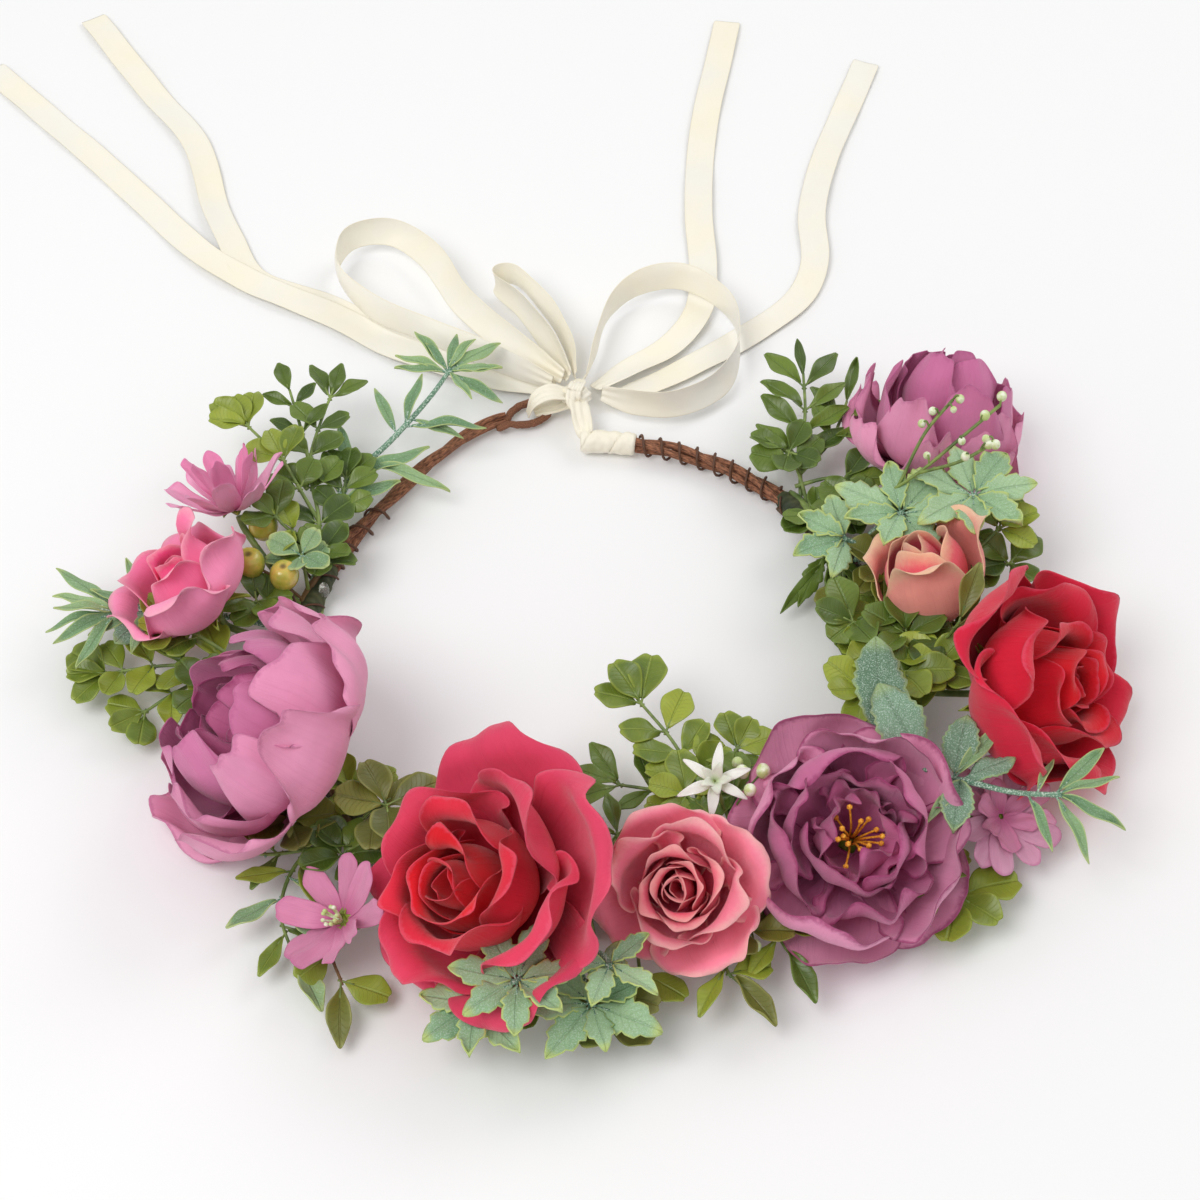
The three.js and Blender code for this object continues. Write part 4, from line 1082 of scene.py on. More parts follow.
TALL_PEONY = [
    whorl(3, 1.0, [(0.05, 0.1), (0.3, 0.5), (0.34, 1.0), (0.18, 1.4)], spiral=0.1, round=0.22,
          crumple=0.07, frill=0.1, fray=0.05, ruffle=0.06),
    whorl(4, 1.2, [(0.08, 0.0), (0.5, 0.36), (0.57, 0.92), (0.42, 1.38)], spiral=0.14, round=0.28,
          ruffle=0.08, loose=5, **PEONY_SILK),
    whorl(4, 1.35, [(0.1, -0.06), (0.7, 0.22), (0.8, 0.78), (0.66, 1.2), (0.68, 1.3)], spiral=0.14,
          round=0.3, ruffle=0.09, loose=6, **PEONY_SILK),
    whorl(5, 1.2, [(0.1, -0.12), (0.8, 0.08), (1.0, 0.48), (0.95, 0.86), (0.98, 0.98)], hug=0.95,
          spiral=0.12, round=0.32, ruffle=0.09, loose=7, **PEONY_SILK),
    whorl(6, 1.15, [(0.1, -0.2), (0.82, -0.08), (1.12, 0.26), (1.14, 0.56), (1.2, 0.64)], hug=0.9,
          roll=0.05, spiral=0.05, round=0.32, ruffle=0.11, loose=4, **dict(PEONY_SILK, crumple=0.08)),
]

GLOBE_PEONY = [
    whorl(4, 0.8, [(0.05, 0.1), (0.2, 0.44), (0.24, 0.76), (0.14, 1.0)], spiral=0.1, round=0.22,
          crumple=0.07, frill=0.1, fray=0.05, ruffle=0.06),
    whorl(5, 1.0, [(0.08, 0.0), (0.4, 0.34), (0.47, 0.78), (0.32, 1.14)], spiral=0.12, round=0.28,
          ruffle=0.07, loose=3, **PEONY_SILK),
    whorl(5, 1.2, [(0.1, -0.06), (0.6, 0.24), (0.7, 0.72), (0.52, 1.16)], spiral=0.12, round=0.3,
          ruffle=0.07, loose=3, **PEONY_SILK),
    whorl(6, 1.15, [(0.1, -0.12), (0.76, 0.1), (0.9, 0.56), (0.8, 1.0)], hug=0.95, spiral=0.1,
          round=0.3, ruffle=0.08, loose=3, **PEONY_SILK),
    whorl(6, 1.15, [(0.1, -0.2), (0.84, -0.04), (1.06, 0.34), (1.06, 0.72), (1.12, 0.82)], hug=0.9,
          roll=0.05, spiral=0.06, round=0.3, ruffle=0.1, loose=3, **dict(PEONY_SILK, crumple=0.08)),
]

BUD = [
    whorl(3, 1.1, [(0.04, 0.0), (0.26, 0.4), (0.3, 0.95), (0.14, 1.46)], spiral=0.1, round=0.2,
          crumple=0.05),
    whorl(3, 1.6, [(0.06, -0.05), (0.5, 0.35), (0.6, 0.9), (0.42, 1.34), (0.48, 1.42)],
          taper=0.1, spiral=0.14, round=0.24, crumple=0.06, frill=0.05),
    whorl(3, 1.9, [(0.08, -0.1), (0.66, 0.2), (0.84, 0.72), (0.78, 1.12), (0.9, 1.26), (0.98, 1.18)],
          hug=0.95, taper=0.15, spiral=0.1, roll=0.1, round=0.3, crumple=0.08, ruffle=0.06, loose=9),
]


SEPALS = 5
SEPAL_DROOP = 0.3               # share of its length that a sepal's tip hangs down


def sepals(name, place, radius, length):
    """Pointed green sepals on a small cup under the petals."""
    cup = tube_piece("cup", [Vector((0, 0, z * radius)) for z in (-0.9, -0.6, -0.25, 0.0, 0.15)],
                     lambda share, turn: radius * (0.28 + 0.72 * math.sin(share * math.pi / 2)), 12)
    leaves = [cup]
    for i in range(SEPALS):
        def shape(u, v, turn=math.tau * i / SEPALS):
            half = radius * 0.55 * np.sin(np.clip(1 - v, 0, 1) * math.pi / 2) ** 0.8 * (1 - 0.2 * v)
            out = radius * 0.8 + length * v
            across = u * half
            up = -SEPAL_DROOP * length * v * v + 0.25 * radius * u * u + 0.1 * radius
            return np.stack([out * math.cos(turn) - across * math.sin(turn),
                             out * math.sin(turn) + across * math.cos(turn), up], 1)
        leaves.append(thicken(cloth_piece("sepal", 4, 6, shape), LEAF_THICKNESS, 0))
    green = join(f"{name}_calyx", leaves)
    green.data.transform(place)
    return paint(green, FINISH["boxwood"])


def flower_stem(name, foot, place, calyx):
    """A wire stem from the ring up to the calyx."""
    start = around(foot, 0, RING_HEIGHT)
    base = place @ Vector((0, 0, -calyx))
    before = place @ Vector((0, 0, -calyx - 0.004))
    path = smooth_path([start, start.lerp(before, 0.45) - UP * 0.0005, before, base], 22)
    return paint(tube_piece(f"{name}_wire", path, STEM_RADIUS, 8), FINISH["stem"])


STAMENS = 14


def stamen_cluster(place, radius):
    """Fine curved threads with a pollen head on each."""
    rng = random.Random("stamens")
    threads = []
    for i in range(STAMENS):
        turn = math.tau * i / STAMENS + rng.uniform(-0.2, 0.2)
        spread_out = radius * rng.uniform(0.12, 0.3)
        top = radius * rng.uniform(0.42, 0.6)
        way = Vector((math.cos(turn), math.sin(turn), 0))
        path = smooth_path([way * radius * 0.03 + UP * radius * 0.1,
                            way * spread_out * 0.45 + UP * top * 0.65, way * spread_out + UP * top], 8)
        threads.append(tube_piece("thread", path, 0.00035, 5))
        threads.append(ball_piece("anther", path[-1], 0.0009, (1.0, 1.0, 1.5), 6, 5))
    cluster = join("stamen_threads", threads)
    cluster.data.transform(place)
    return paint(cluster, FINISH["stamen"])


def make_head(name, kind, split, radius, foot, heading, tilt, depth, silks, slots, node=None,
              drift=(0, 0), shift=(0, 0, 0), squash=1.0):
    """A many-petalled head: whorls up to split are its inner petals, and the rest its outer ones.

    The heading and tilt say where it looks, the shift is in millimetres, and the squash is its
    height against its form's. The silks are those of the inner and the outer petals; the slots
    are not used.
    """
    node = node or f"{name}_outer_petals"
    place = Matrix.Translation(Vector(shift) * 0.001) @ head_frame(node, heading, tilt, depth)
    place = place @ Matrix.Scale(squash, 4, UP)
    rings = whorls(kind, name, radius, place, FINISH[silks[0]], drift=drift)
    for ring in rings[split:]:
        paint(ring, FINISH[silks[1]])
    layers = [("inner", rings[:split], slots[0]), ("outer", rings[split:], slots[1])]
    if node == f"{name}_petals":
        layers = [("all", rings, slots[1])]
    for label, group, slot in layers:
        layer = join(f"{name}_{label}_silk", group)
        thicken(layer, PETAL_THICKNESS)
        stands_for = f"{name}_petals" if label == "all" else f"{name}_{label}_petals"
        finish_piece(layer, [stands_for])
    green = sepals(name, place @ Matrix.Translation((0, 0, -0.06 * radius)), radius * 0.17, radius * 0.42)
    stem = join(f"{name}_wire_stem", [flower_stem(name, foot, place, radius * 0.2), green])
    finish_piece(stem, [f"{name}_stem"])
    return place


def make_daisy(name, petals, radius, foot, heading, tilt, depth, cone, silk, wide, inner=0, centre=0,
               shift=(0, 0, 0)):
    """A ring of long round-tipped petals that rises into a shallow cone.

    wide is the width of all its petals side by side in radii, and it may have an inner ring of
    petals or a centre of short threads.
    """
    node = f"{name}_petals"
    place = Matrix.Translation(Vector(shift) * 0.001) @ head_frame(node, heading, tilt, depth)
    rise = cone / radius
    outer = whorl(petals, wide / petals,
                  [(0.06, 0.0), (0.3, 0.12 * rise), (0.62, 0.45 * rise), (0.86, 0.8 * rise),
                   (1.0, 0.92 * rise)],
                  hug=0.3, taper=0, round=0.16, crumple=0.08, frill=0.05, ruffle=0.05, loose=12)
    kind = [outer]
    if inner:
        kind.insert(0, dict(outer, count=inner, width=0.8 * wide / petals,
                            profile=[(0.04, 0.06), (0.2, 0.3 * rise), (0.42, 0.85 * rise),
                                     (0.6, 1.35 * rise)]))
    rings = whorls(kind, name, radius, place, FINISH[silk], (6, 8))
    cloth = join(f"{name}_silk", rings)
    thicken(cloth, PETAL_THICKNESS)
    parts = [cloth]
    if centre:
        rng = random.Random(name + "centre")
        for i in range(centre):
            turn = math.tau * i / centre + rng.uniform(-0.3, 0.3)
            way = Vector((math.cos(turn), math.sin(turn), 0))
            path = [way * 0.0006 + UP * 0.0006, way * 0.0016 + UP * 0.003, way * 0.0026 + UP * 0.0055]
            thread = tube_piece("thread", smooth_path(path, 6), 0.0003, 5)
            tip = ball_piece("tip", path[-1], 0.0007, (1, 1, 1.3), 6, 5)
            pair = join("pair", [thread, tip])
            pair.data.transform(place)
            parts.append(paint(pair, FINISH["bud"]))
    whole = join(f"{name}_head", parts)
    finish_piece(whole, [node])
    green = sepals(name, place, 0.0022, 0.003)
    stem = join(f"{name}_wire_stem", [flower_stem(name, foot, place, 0.0026), green])
    finish_piece(stem, [f"{name}_stem"])


# ------------------------------------------------------------------ leaves and sprigs
def at(x, y, z):
    """A point by its millimetres right of, behind and above the middle of the ring."""
    return RING_CENTRE + Vector((x, y, z)) * 0.001


LEAVES = {
    # outline: the half width by the share along; notch: the tip's dent; fold and droop: its bends;
    # teeth: how many along each side, and bite: how deep they are
    "round": dict(outline=[(0, 0.1), (0.1, 0.24), (0.4, 0.78), (0.68, 1.0), (0.88, 0.96), (1, 0.7)],
                  width=0.8, round=0.22, notch=0.1, fold=0.2, droop=0.12, finish="boxwood"),
    "long": dict(outline=[(0, 0.1), (0.15, 0.3), (0.5, 0.85), (0.75, 1.0), (0.92, 0.8), (1, 0.45)],
                 width=0.44, round=0.25, notch=0.03, fold=0.25, droop=0.12, finish="boxwood"),
    "thin": dict(outline=[(0, 0.15), (0.2, 0.7), (0.45, 1.0), (0.75, 0.7), (1, 0.04)],
                 width=0.24, round=0.0, notch=0, fold=0.3, droop=0.2, finish="dusty"),
    "toothed": dict(outline=[(0, 0.12), (0.12, 0.45), (0.35, 0.9), (0.55, 1.0), (0.8, 0.62), (1, 0.03)],
                    width=0.7, round=0.0, notch=0, fold=0.2, droop=0.14, teeth=4, bite=0.34,
                    finish="frosted"),
    "oval": dict(outline=[(0, 0.08), (0.1, 0.4), (0.3, 0.88), (0.5, 1.0), (0.75, 0.8), (0.92, 0.4),
                          (1, 0.03)],
                 width=0.62, round=0.0, notch=0, fold=0.14, droop=0.1, teeth=9, bite=0.18,
                 finish="frosted_grey"),
    "drooping": dict(outline=[(0, 0.08), (0.15, 0.45), (0.4, 1.0), (0.7, 0.7), (1, 0.03)],
                     width=0.38, round=0.0, notch=0, fold=0.3, droop=0.25, teeth=6, bite=0.28,
                     finish="dark"),
}


def leaf(kind, base, way, length, rng, finish=None):
    """One moulded leaf on its short stalk, its face as near upwards as its direction allows."""
    form = LEAVES[kind]
    way = way.normalized()
    side = way.cross(UP)
    side = side.normalized() if side.length > 0.05 else Vector((1, 0, 0))
    side = Matrix.Rotation(math.radians(rng.uniform(-16, 16)), 3, way) @ side
    face = side.cross(way)
    length *= rng.uniform(0.9, 1.1)
    half = form["width"] * length / 2 * rng.uniform(0.9, 1.1)
    droop = form["droop"] * rng.uniform(0.3, 1.7)
    twist = rng.uniform(-0.25, 0.25)
    cup = rng.uniform(-0.25, 0.35)
    shares, widths = zip(*form["outline"])
    teeth = form.get("teeth", 0)

    def shape(u, v):
        flank = np.abs(u)
        t = v * (1 - form["round"] * flank ** 2.4 - form["notch"] * np.maximum(1 - 3 * flank, 0) * v ** 6)
        wide = np.interp(v, shares, widths)
        if teeth:
            bite = (v * teeth) % 1
            wide = wide * (1 - form["bite"] * flank * (1 - bite))
            t = t + form["bite"] * 0.22 / teeth * flank * bite
        across = u * wide * half
        up = form["fold"] * np.abs(across) - droop * length * t * t + twist * across * t
        up += cup * flank * flank * half - 0.05 * length * np.sin(t * 9 + twist * 20) * flank
        stalk = 0.1 * length
        return [base + way * (stalk + reach * length) + side * x + face * z
                for reach, x, z in zip(t, across, up)]

    rows = max(teeth * 4, 8)
    blade = cloth_piece("leaf", 6, min(rows, 24), shape, shade=rng.random())
    thicken(blade, LEAF_THICKNESS, 0 if teeth else 1)
    stalk_path = spread([base - way * 0.001, base + way * length * 0.3], 3)
    stalk = tube_piece("stalk", stalk_path, STALK_RADIUS, 5)
    stalk_finish = "frosted_stem" if (finish or form["finish"]).startswith(("fro", "dus")) else "stem"
    paint(stalk, FINISH[stalk_finish])
    return [paint(blade, FINISH[finish or form["finish"]]), stalk]


TWIG_STEPS = 26


def branch(route, leaves, rng, stem, radius):
    """A stem through its points, with leaves given as kind, share along, turn, rise and length."""
    path = smooth_path([point if isinstance(point, Vector) else at(*point) for point in route],
                       TWIG_STEPS)
    ways = tangents(path)
    twig = tube_piece("twig", path, lambda share, turn: radius * (1.25 - 0.5 * share), 7)
    made = [paint(twig, FINISH[stem])]
    for kind, share, turn, rise, length, *finish in leaves:
        i = round(share * TWIG_STEPS)
        level = Vector((ways[i].x, ways[i].y, 0)).normalized()
        way = Matrix.Rotation(math.radians(turn), 3, "Z") @ level
        way = way * math.cos(math.radians(rise)) + UP * math.sin(math.radians(rise))
        made += leaf(kind, path[i], way, length * 0.001, rng, finish[0] if finish else None)
    return made


def pairs(kind, shares, turn, rise, length, *finish):
    """Leaves in opposite pairs along a branch, each pair a little shorter than the one below."""
    made = []
    for number, share in enumerate(shares):
        size = length * (1 - 0.06 * number)
        made += [(kind, share, turn, rise, size, *finish), (kind, share, -turn, rise, size, *finish)]
    return made


def fan(kind, count, spread_angle, rise, length, *finish, share=0.98):
    """Leaves spread like fingers from one place, every second one a little higher and shorter."""
    step = 2 * spread_angle / max(count - 1, 1)
    made = []
    for i in range(count):
        second = i % 2
        made.append((kind, share, -spread_angle + step * i, rise + 7 * second,
                     length * (1 - 0.1 * second), *finish))
    return made


def tuft(angle, hub, count=5, length=13, finish="boxwood", kind="round", inward=False):
    """A short side shoot with a rosette of leaves at its end."""
    root = foot(angle, inward)
    tip = at(*hub)
    leaves = fan(kind, count, 150, 20, length, finish) + pairs(kind, (0.72,), 62, 15, length, finish)
    return ([root, root.lerp(tip, 0.5) + UP * 0.003, tip], "stem", leaves)


def foot(angle, inward=False):
    """Where a sprig leaves the tape."""
    return around(angle, -0.002 if inward else 0.002, RING_HEIGHT + 0.001)


# Each sprig: its slot, and then its shoots. A shoot is its stem's points in millimetres from the
# ring's middle, the stem's finish and its leaves. A leaf is its kind, the share along the stem, its
# turn and rise in degrees, its length in millimetres and, where it isn't the kind's own, its finish.
SPRIGS = {
    "boxwood_sprig_back_left": ("boxwood_leaf", [
        ([foot(-201.5), (-86, 48, 15), (-90, 68, 18), (-87, 86, 20), (-84, 97, 21)], "stem",
         pairs("round", (0.25, 0.42, 0.6, 0.78), 58, 18, 13, "dark")
         + fan("long", 3, 42, 10, 14, "dark")),
        ([(-88, 60, 17), (-93, 80, 20), (-98, 97, 22)], "stem",
         pairs("long", (0.55, 0.8), 50, 12, 12, "dark") + [("long", 0.98, 5, 8, 13, "dark")]),
        ([(-86, 48, 14), (-92, 56, 20), (-98, 66, 24)], "stem",
         pairs("round", (0.5,), 60, 25, 11, "dark") + fan("round", 3, 55, 25, 12)),
        ([(-86, 42, 12), (-94, 40, 19), (-99, 43, 23)], "stem",
         pairs("round", (0.55,), 65, 20, 11) + fan("round", 3, 65, 25, 12, "dark")),
        ([(-90, 58, 18), (-102, 72, 21), (-111, 82, 22)], "stem",
         fan("round", 4, 46, 14, 14)),
        ([(-84, 40, 12), (-80, 50, 15), (-78, 64, 17)], "stem",
         pairs("round", (0.5, 0.8), 60, 20, 11, "dark") + fan("round", 3, 40, 15, 11, "dark")),
        tuft(-199, (-84, 34, 16), 5, 12, "dark"),
        tuft(-196, (-90, 30, 20), 4, 11, "dusty"),
    ]),
    "dusty_sprig_back_left": ("dusty_leaf", [
        ([foot(-197.5), (-83, 44, 14), (-77, 64, 15), (-64, 80, 17), (-52, 97, 19),
          (-45, 110, 20)], "frosted_stem",
         [("thin", 0.42, 40, 12, 22), ("thin", 0.44, -32, 4, 28), ("thin", 0.5, -62, 0, 26),
          ("thin", 0.66, 62, 14, 18), ("thin", 0.7, 22, 22, 18), ("thin", 0.7, -50, 4, 26),
          ("thin", 0.72, -74, 0, 17), ("thin", 0.3, -50, 6, 22), ("thin", 0.34, 50, 10, 16)]
         + fan("thin", 6, 100, 4, 19) + fan("thin", 5, 120, 14, 15, share=0.96)),
    ]),
    "boxwood_sprig_left": ("boxwood_leaf", [
        ([foot(-172), (-108, -6, 9), (-130, -6, 10), (-150, -8, 8)], "stem",
         pairs("round", (0.4, 0.56, 0.72, 0.87), 62, 14, 14) + fan("round", 3, 40, 5, 14)),
        ([(-112, -6, 9), (-128, -16, 8), (-136, -22, 7)], "stem",
         pairs("round", (0.6,), 60, 10, 12) + fan("round", 3, 50, 5, 12)),
        ([(-108, -4, 10), (-122, 2, 16), (-128, 2, 18)], "stem",
         pairs("round", (0.6,), 60, 20, 13) + fan("round", 3, 50, 20, 13)),
        tuft(-170, (-118, -18, 14), 4, 12, "dark"),
        tuft(-186, (-104, 16, 14), 4, 12, "dark"),
    ]),
    "frosted_sprig_left": ("frosted_leaf", [
        ([foot(-187), (-118, 14, 10), (-138, 12, 15), (-148, 10, 16)], "frosted_stem",
         fan("thin", 4, 75, 12, 19, "dusty", share=0.8) + fan("thin", 5, 52, 8, 22, "dusty")
         + [("thin", 0.98, 4, 30, 19, "dusty"), ("oval", 0.7, -50, 10, 17), ("oval", 0.75, 46, 8, 17)]),
    ]),
    "leaf_sprig_front_left": ("dark_leaf", [
        ([foot(-137), (-84, -76, 10), (-89, -92, 8), (-83, -110, 6)], "stem",
         [("long", 0.4, 55, 14, 16), ("long", 0.45, -50, 14, 15), ("long", 0.6, 48, 8, 17, "dusty"),
          ("long", 0.62, -48, 8, 16, "dusty"), ("long", 0.78, 52, 6, 16, "dark"),
          ("long", 0.8, -46, 4, 15), ("long", 0.98, 8, 2, 16, "dusty"), ("thin", 0.5, 80, 10, 18)]),
        ([(-78, -72, 10), (-94, -74, 9), (-102, -72, 8)], "stem",
         [("long", 0.5, 50, 8, 15, "dark"), ("long", 0.55, -45, 8, 15), ("long", 0.98, 10, 4, 16),
          ("thin", 0.7, -70, 0, 18)]),
        ([(-70, -84, 9), (-74, -104, 7), (-70, -116, 6)], "brown_stem",
         [("long", 0.98, -20, 5, 20, "olive"), ("round", 0.96, 48, 6, 14),
          ("round", 0.7, -60, 8, 12)]),
        tuft(-138, (-58, -68, 26), 4, 15, "olive"),
        tuft(-142, (-88, -66, 14), 5, 13, "olive"),
        tuft(-146, (-70, -56, 16), 4, 13),
        tuft(-130, (-72, -78, 14), 5, 13, "dark"),
    ]),
    "frosted_sprig_front": ("frosted_leaf", [
        ([foot(-90), (-4, -106, 14), (-12, -122, 25), (-21, -130, 31)], "frosted_stem",
         fan("toothed", 7, 150, 10, 18)),
        ([(-4, -104, 10), (-2, -118, 15), (1, -130, 18)], "frosted_stem",
         fan("toothed", 7, 145, 10, 18.5)),
        ([(-6, -108, 12), (-22, -122, 16), (-32, -130, 18)], "frosted_stem",
         fan("toothed", 5, 90, 6, 16)),
        ([(-2, -108, 12), (4, -116, 22), (6, -122, 26)], "frosted_stem",
         fan("toothed", 4, 110, 14, 14)),
        tuft(-90, (6, -132, 9), 4, 15, "olive"),
        tuft(-92, (-22, -124, 12), 4, 14, "dark"),
    ]),
    "boxwood_sprig_front": ("boxwood_leaf", [
        ([foot(-66, True), (33, -62, 17), (26, -44, 20), (14, -27, 22)], "stem",
         pairs("round", (0.45, 0.6, 0.75), 60, 20, 14) + fan("round", 3, 48, 22, 15)),
        ([(34, -66, 16), (22, -58, 17), (8, -54, 16)], "stem",
         pairs("long", (0.6,), 52, 10, 14, "dark") + fan("long", 3, 42, 12, 17, "dark")),
        ([(34, -66, 16), (38, -54, 20), (44, -44, 21)], "stem",
         pairs("round", (0.6,), 56, 15, 12) + fan("round", 3, 50, 20, 12)),
        tuft(-70, (28, -62, 24), 5, 13),
        tuft(-64, (42, -60, 22), 5, 13, "dark"),
        tuft(-82, (8, -72, 18), 5, 13, "dark", "long"),
        tuft(-98, (-12, -62, 12), 4, 12, "olive", "long"),
        ([(30, -92, 10), (36, -108, 12), (40, -117, 12)], "stem",
         [("long", 0.98, 18, 0, 17, "olive"), ("long", 0.9, -55, 4, 15), ("round", 0.98, 80, 6, 12)]),
        ([(14, -96, 10), (14, -110, 10), (15, -117, 10)], "stem",
         [("round", 0.98, -26, 4, 14, "dark"), ("round", 0.9, 50, 4, 13)]),
        ([(46, -86, 10), (52, -100, 12), (56, -108, 12)], "stem",
         [("long", 0.98, 0, 4, 18, "dark"), ("long", 0.8, -60, 10, 14), ("long", 0.7, 55, 8, 14)]),
        tuft(-68, (46, -104, 14), 4, 13, "olive"),
    ]),
    "boxwood_sprig_front_right": ("boxwood_leaf", [
        ([foot(-33.5), (92, -70, 9), (103, -84, 8), (108, -89, 8)], "stem",
         pairs("round", (0.7,), 62, 10, 14) + fan("round", 3, 62, 8, 17)),
        tuft(-36, (96, -84, 12), 4, 13, "dark"),
    ]),
    "frosted_sprig_right": ("frosted_leaf", [
        ([foot(-24), (98, -52, 18), (108, -63, 31), (122, -67, 31), (137, -66, 28)],
         "frosted_stem",
         [("oval", 0.52, 118, 22, 17), ("thin", 0.54, 88, 20, 20), ("oval", 0.56, 52, 18, 17),
          ("oval", 0.58, -68, 8, 18), ("thin", 0.56, -92, 6, 18), ("thin", 0.84, -70, 0, 16)]
         + [("thin", 0.98, 38, 10, 21), ("thin", 0.98, 8, 14, 18), ("thin", 0.98, -34, 4, 20),
            ("thin", 0.98, -72, 0, 20), ("thin", 0.9, 60, 12, 13)]),
    ]),
    "frosted_leaves_right": ("frosted_leaf", [
        ([foot(-17, True), (86, -46, 24), (85, -54, 36)], "frosted_stem",
         [("oval", 0.98, 190, 24, 31), ("oval", 0.7, 262, 8, 16)]),
        ([(88, -40, 18), (94, -54, 28), (97, -62, 35)], "frosted_stem",
         [("oval", 0.98, 190, 26, 25)]),
    ]),
    "boxwood_sprig_right": ("boxwood_leaf", [
        ([foot(1, True), (88, -2, 18), (90, -12, 24), (94, -22, 27)], "stem",
         pairs("round", (0.4, 0.6, 0.8), 66, 22, 14) + fan("round", 3, 60, 20, 14)),
        ([(88, -2, 14), (82, 2, 20), (80, 0, 24)], "stem",
         fan("round", 5, 120, 22, 14, "dark")),
        ([(88, -8, 16), (84, -18, 20), (82, -26, 24)], "stem",
         fan("round", 5, 110, 20, 14)),
        ([(100, 2, 12), (107, -9, 28), (110, -12, 40)], "stem",
         [("long", 0.98, 108, 34, 19, "olive"), ("thin", 0.9, 60, 10, 12, "olive")]),
        tuft(0, (96, -6, 26), 5, 14, "dark"),
        tuft(-6, (104, -18, 24), 5, 14),
        tuft(4, (90, 8, 18), 4, 13),
        tuft(-10, (108, -8, 18), 5, 14, "olive"),
        tuft(8, (112, 6, 16), 5, 14, "dark"),
    ]),
    "frosted_sprig_back_right": ("frosted_leaf", [
        ([foot(24), (88, 38, 20), (97, 37, 32)], "frosted_stem",
         fan("toothed", 7, 160, 10, 18.5)),
        ([(92, 38, 22), (108, 40, 33), (120, 41, 35)], "frosted_stem",
         fan("toothed", 7, 150, 12, 19)),
        ([(88, 34, 16), (84, 32, 22), (79, 32, 25)], "frosted_stem",
         fan("toothed", 4, 75, 8, 16)),
        ([(104, 34, 20), (118, 28, 24), (128, 36, 26)], "stem",
         fan("round", 4, 80, 15, 13)),
        tuft(22, (92, 24, 20), 5, 13, "olive"),
        tuft(26, (104, 44, 20), 5, 14, "dark"),
        tuft(20, (132, 26, 20), 4, 13, "dark"),
    ]),
    "drooping_leaf_sprig": ("dark_leaf", [
        ([foot(30, True), (75, 40, 9), (75, 34, 9)], "stem",
         [("drooping", 0.98, 6, -6, 32), ("thin", 0.8, -40, 0, 24, "dark"),
          ("drooping", 0.7, 50, 0, 22), ("drooping", 0.5, -20, 0, 20)]),
        ([foot(24, True), (80, 28, 9), (80, 20, 10)], "stem",
         [("thin", 0.98, 20, 0, 22, "dark"), ("round", 0.9, -60, 20, 12, "olive"),
          ("round", 0.9, 70, 20, 12)]),
        tuft(34, (72, 50, 14), 4, 12, "dark", "round", True),
    ]),
    "boxwood_sprig_back_right": ("boxwood_leaf", [
        ([foot(42.5), (68, 76, 13), (70, 92, 16), (70, 108, 18)], "stem",
         pairs("long", (0.3, 0.5, 0.7), 52, 14, 18, "dark") + pairs("long", (0.88,), 42, 10, 16, "dark")
         + [("thin", 0.98, 4, 8, 16, "dark")]),
        ([(68, 70, 12), (78, 82, 14), (84, 98, 15)], "stem",
         pairs("long", (0.5, 0.75), 50, 12, 15, "dark") + [("thin", 0.98, 6, 8, 18, "dark")]),
        ([(66, 66, 10), (76, 66, 14), (82, 62, 18)], "stem",
         fan("round", 4, 90, 15, 13, "dark")),
        tuft(40, (64, 78, 14), 4, 13, "dark"),
        tuft(36, (84, 52, 16), 5, 13, "dark"),
    ]),
}


def make_sprigs():
    for name, (slot, branches) in SPRIGS.items():
        rng = random.Random(name)
        parts = []
        for route, stem, leaves in branches:
            radius = FROSTED_RADIUS if stem == "frosted_stem" else SPRIG_RADIUS
            parts += branch(route, leaves, rng, stem, radius)
        sprig = join(f"{name}_moulded", parts)
        finish_piece(sprig, [name])


def bead_on_stalk(start, middle, radius, finish, stalk_finish, thickness=0.00035):
    """A round bead on a thin curved stalk."""
    path = smooth_path([start, start.lerp(middle, 0.5) + UP * 0.002, middle], 10)
    bead = soften(ball_piece("bead", middle, radius, (1, 1, 1.12)))
    return [paint(tube_piece("stalk", path, thickness, 6), FINISH[stalk_finish]),
            paint(bead, FINISH[finish])]


def make_berries():
    parts = []
    for start, middle, radius in (
            (foot(-199), at(-103, 43, 18), 0.005), (foot(-194), at(-106, 27, 19), 0.0052),
            (foot(-190), at(-95, 23, 18), 0.005)):
        parts += bead_on_stalk(start, middle, radius, "berry", "brown_stem", 0.0005)
    berries = join("wax_berries", parts)
    finish_piece(berries, ["berry_sprig"])


def make_bud_spray():
    """Pale filler stems with little buds that lean over the back peony."""
    rng = random.Random("buds")
    parts = []
    for route in ([foot(39.5), at(86, 47, 24), at(100, 46, 38), at(116, 52, 52), at(126, 58, 58)],
                  [at(102, 46, 40), at(114, 44, 48), at(124, 48, 52)],
                  [at(96, 46, 34), at(104, 56, 48), at(112, 62, 56)]):
        path = smooth_path(route, 20)
        parts.append(paint(tube_piece("spray", path, 0.00055, 6), FINISH["stem"]))
        for i in (13, 16, 18, 20):
            shift = Vector((rng.uniform(-1, 1), rng.uniform(-1, 1), rng.uniform(0, 1))) * 0.0028
            parts += bead_on_stalk(path[i], path[i] + shift, rng.uniform(0.0011, 0.0017), "bud", "stem")
    spray = join("bud_spray", parts)
    finish_piece(spray, ["bud_spray_right"])


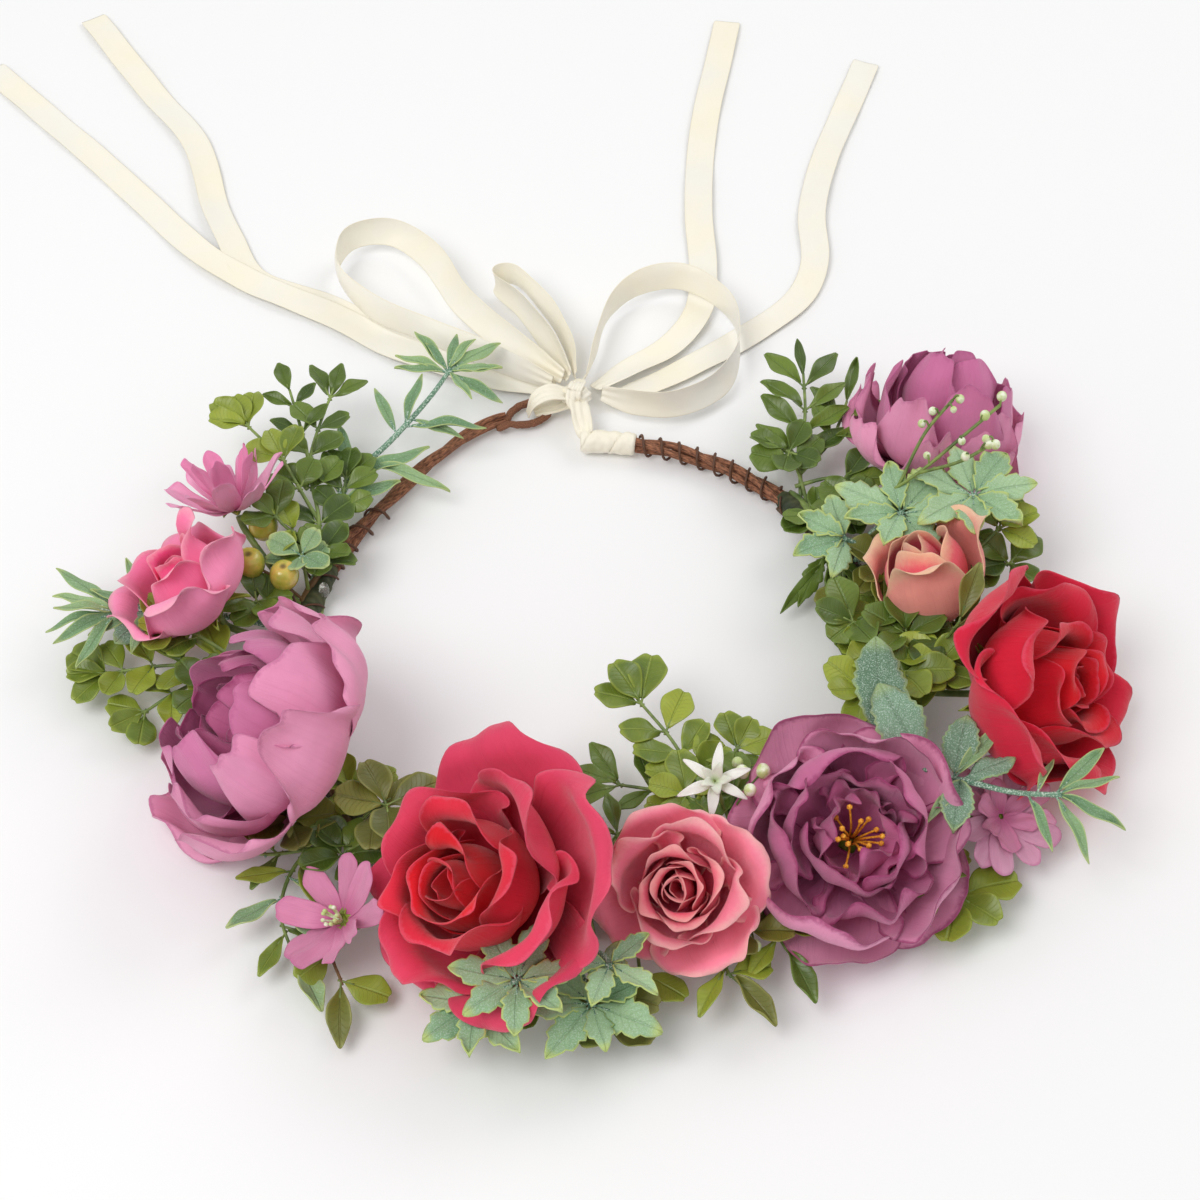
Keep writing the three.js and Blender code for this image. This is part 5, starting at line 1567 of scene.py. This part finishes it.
def make_star():
    """The white star flower with its green buds."""
    centre = at(36, -66, 35)
    place = Matrix.Translation(centre) @ Matrix.Rotation(math.radians(24), 4, "X")
    star = whorl(6, 0.3, [(0.04, 0.0), (0.4, 0.1), (0.75, 0.12), (1.0, 0.02)], hug=0.5, round=0.3,
                 crumple=0.05)
    heart = dict(star, count=5, profile=[(0.03, 0.05), (0.2, 0.3), (0.36, 0.42), (0.44, 0.36)])
    rings = whorls([heart, star], "white_star", 0.0115, place, FINISH["white"], (4, 6))
    silk = thicken(join("star", rings), PETAL_THICKNESS)
    stem_path = smooth_path([foot(-58, True), at(42, -74, 20), centre], 16)
    parts = [silk, paint(tube_piece("stem", stem_path, SPRIG_RADIUS, 7), FINISH["stem"])]
    for x, y, z, radius in ((44, -62, 34, 0.0022), (50, -61, 33, 0.0024), (46, -69, 35, 0.002),
                            (47, -108, 14, 0.002), (43, -56, 30, 0.0018)):
        root = stem_path[10] if y > -100 else foot(-62)
        parts += bead_on_stalk(root, at(x, y, z), radius, "bud", "stem")
    star_piece = join("white_star", parts)
    finish_piece(star_piece, ["white_star_sprig"])


# ------------------------------------------------------------------ the crown
def make_flowers():
    reds = ("deep_red_petal", "rose_red_petal")
    mauves = ("deep_mauve_petal", "mauve_petal")
    make_head("left_peony", GLOBE_PEONY, 2, 0.0375, -154, 172, 52, 0.030,
              ("mauve", "mauve_pink"), mauves, shift=(4, -6, -4), squash=0.84)
    make_head("left_pink_rose", LOOSE_ROSE, 2, 0.0235, -183, 150, 40, 0.020,
              ("hot_pink", "hot_pink"), ("hot_pink_petal", "hot_pink_petal"),
              shift=(4, -4, 0))
    make_head("front_red_rose", ROSE, 4, 0.036, -105, 212, 38, 0.028,
              ("red", "red"), reds, drift=(0.22, 0.04), shift=(0, 0, -3))
    make_head("front_coral_rose", ROSE, 4, 0.0218, -75, -105, 34, 0.022,
              ("coral", "coral"), ("coral_petal", "peach_petal"), shift=(-3, 1, 0))
    place = make_head("front_right_peony", OPEN_PEONY, 1, 0.0315, -46, -80, 26, 0.026,
                      ("mauve", "mauve"), mauves, shift=(-4, 0, 0))
    stamens = stamen_cluster(place, 0.0315)
    finish_piece(stamens, ["front_right_peony_stamens"])
    make_head("right_red_rose", CUP_ROSE, 4, 0.0345, -7, -22, 56, 0.028,
              ("deep_red", "deep_red"), reds, drift=(-0.1, 0), shift=(-1, -1, -6))
    make_head("right_rosebud", BUD, 0, 0.0205, 6.5, 130, 26, 0.025,
              ("peach", "peach"), ("coral_petal", "coral_petal"),
              node="right_rosebud_petals", shift=(1, -3, 0))
    make_head("back_right_peony", TALL_PEONY, 0, 0.0262, 36, 70, 32, 0.034,
              ("mauve_pink", "mauve_pink"), ("mauve_petal", "mauve_petal"),
              node="back_right_peony_petals", shift=(2, -6, -2))
    make_daisy("back_left_daisy", 10, 0.0195, -191, 125, 34, 0.009, 0.014, "daisy", 4.0, inner=6,
               shift=(1, -1, 0))
    make_daisy("front_left_daisy", 9, 0.0185, -124, -160, 36, 0.005, 0.008, "dusty_daisy", 3.6,
               centre=9, shift=(2, 0, 0))
    make_daisy("right_daisy", 11, 0.0185, -29, -40, 25, 0.004, 0.004, "dusty_daisy", 4.6, inner=6,
               shift=(1, 2, 1))


bpy.ops.object.select_all(action="DESELECT")
set_camera()
make_tails()
set_stage()
make_loops()
make_knot()
make_wrap()
make_strands()
make_binding()
make_tape()
make_glue_bead()
make_flowers()
make_sprigs()
make_berries()
make_bud_spray()
make_star()
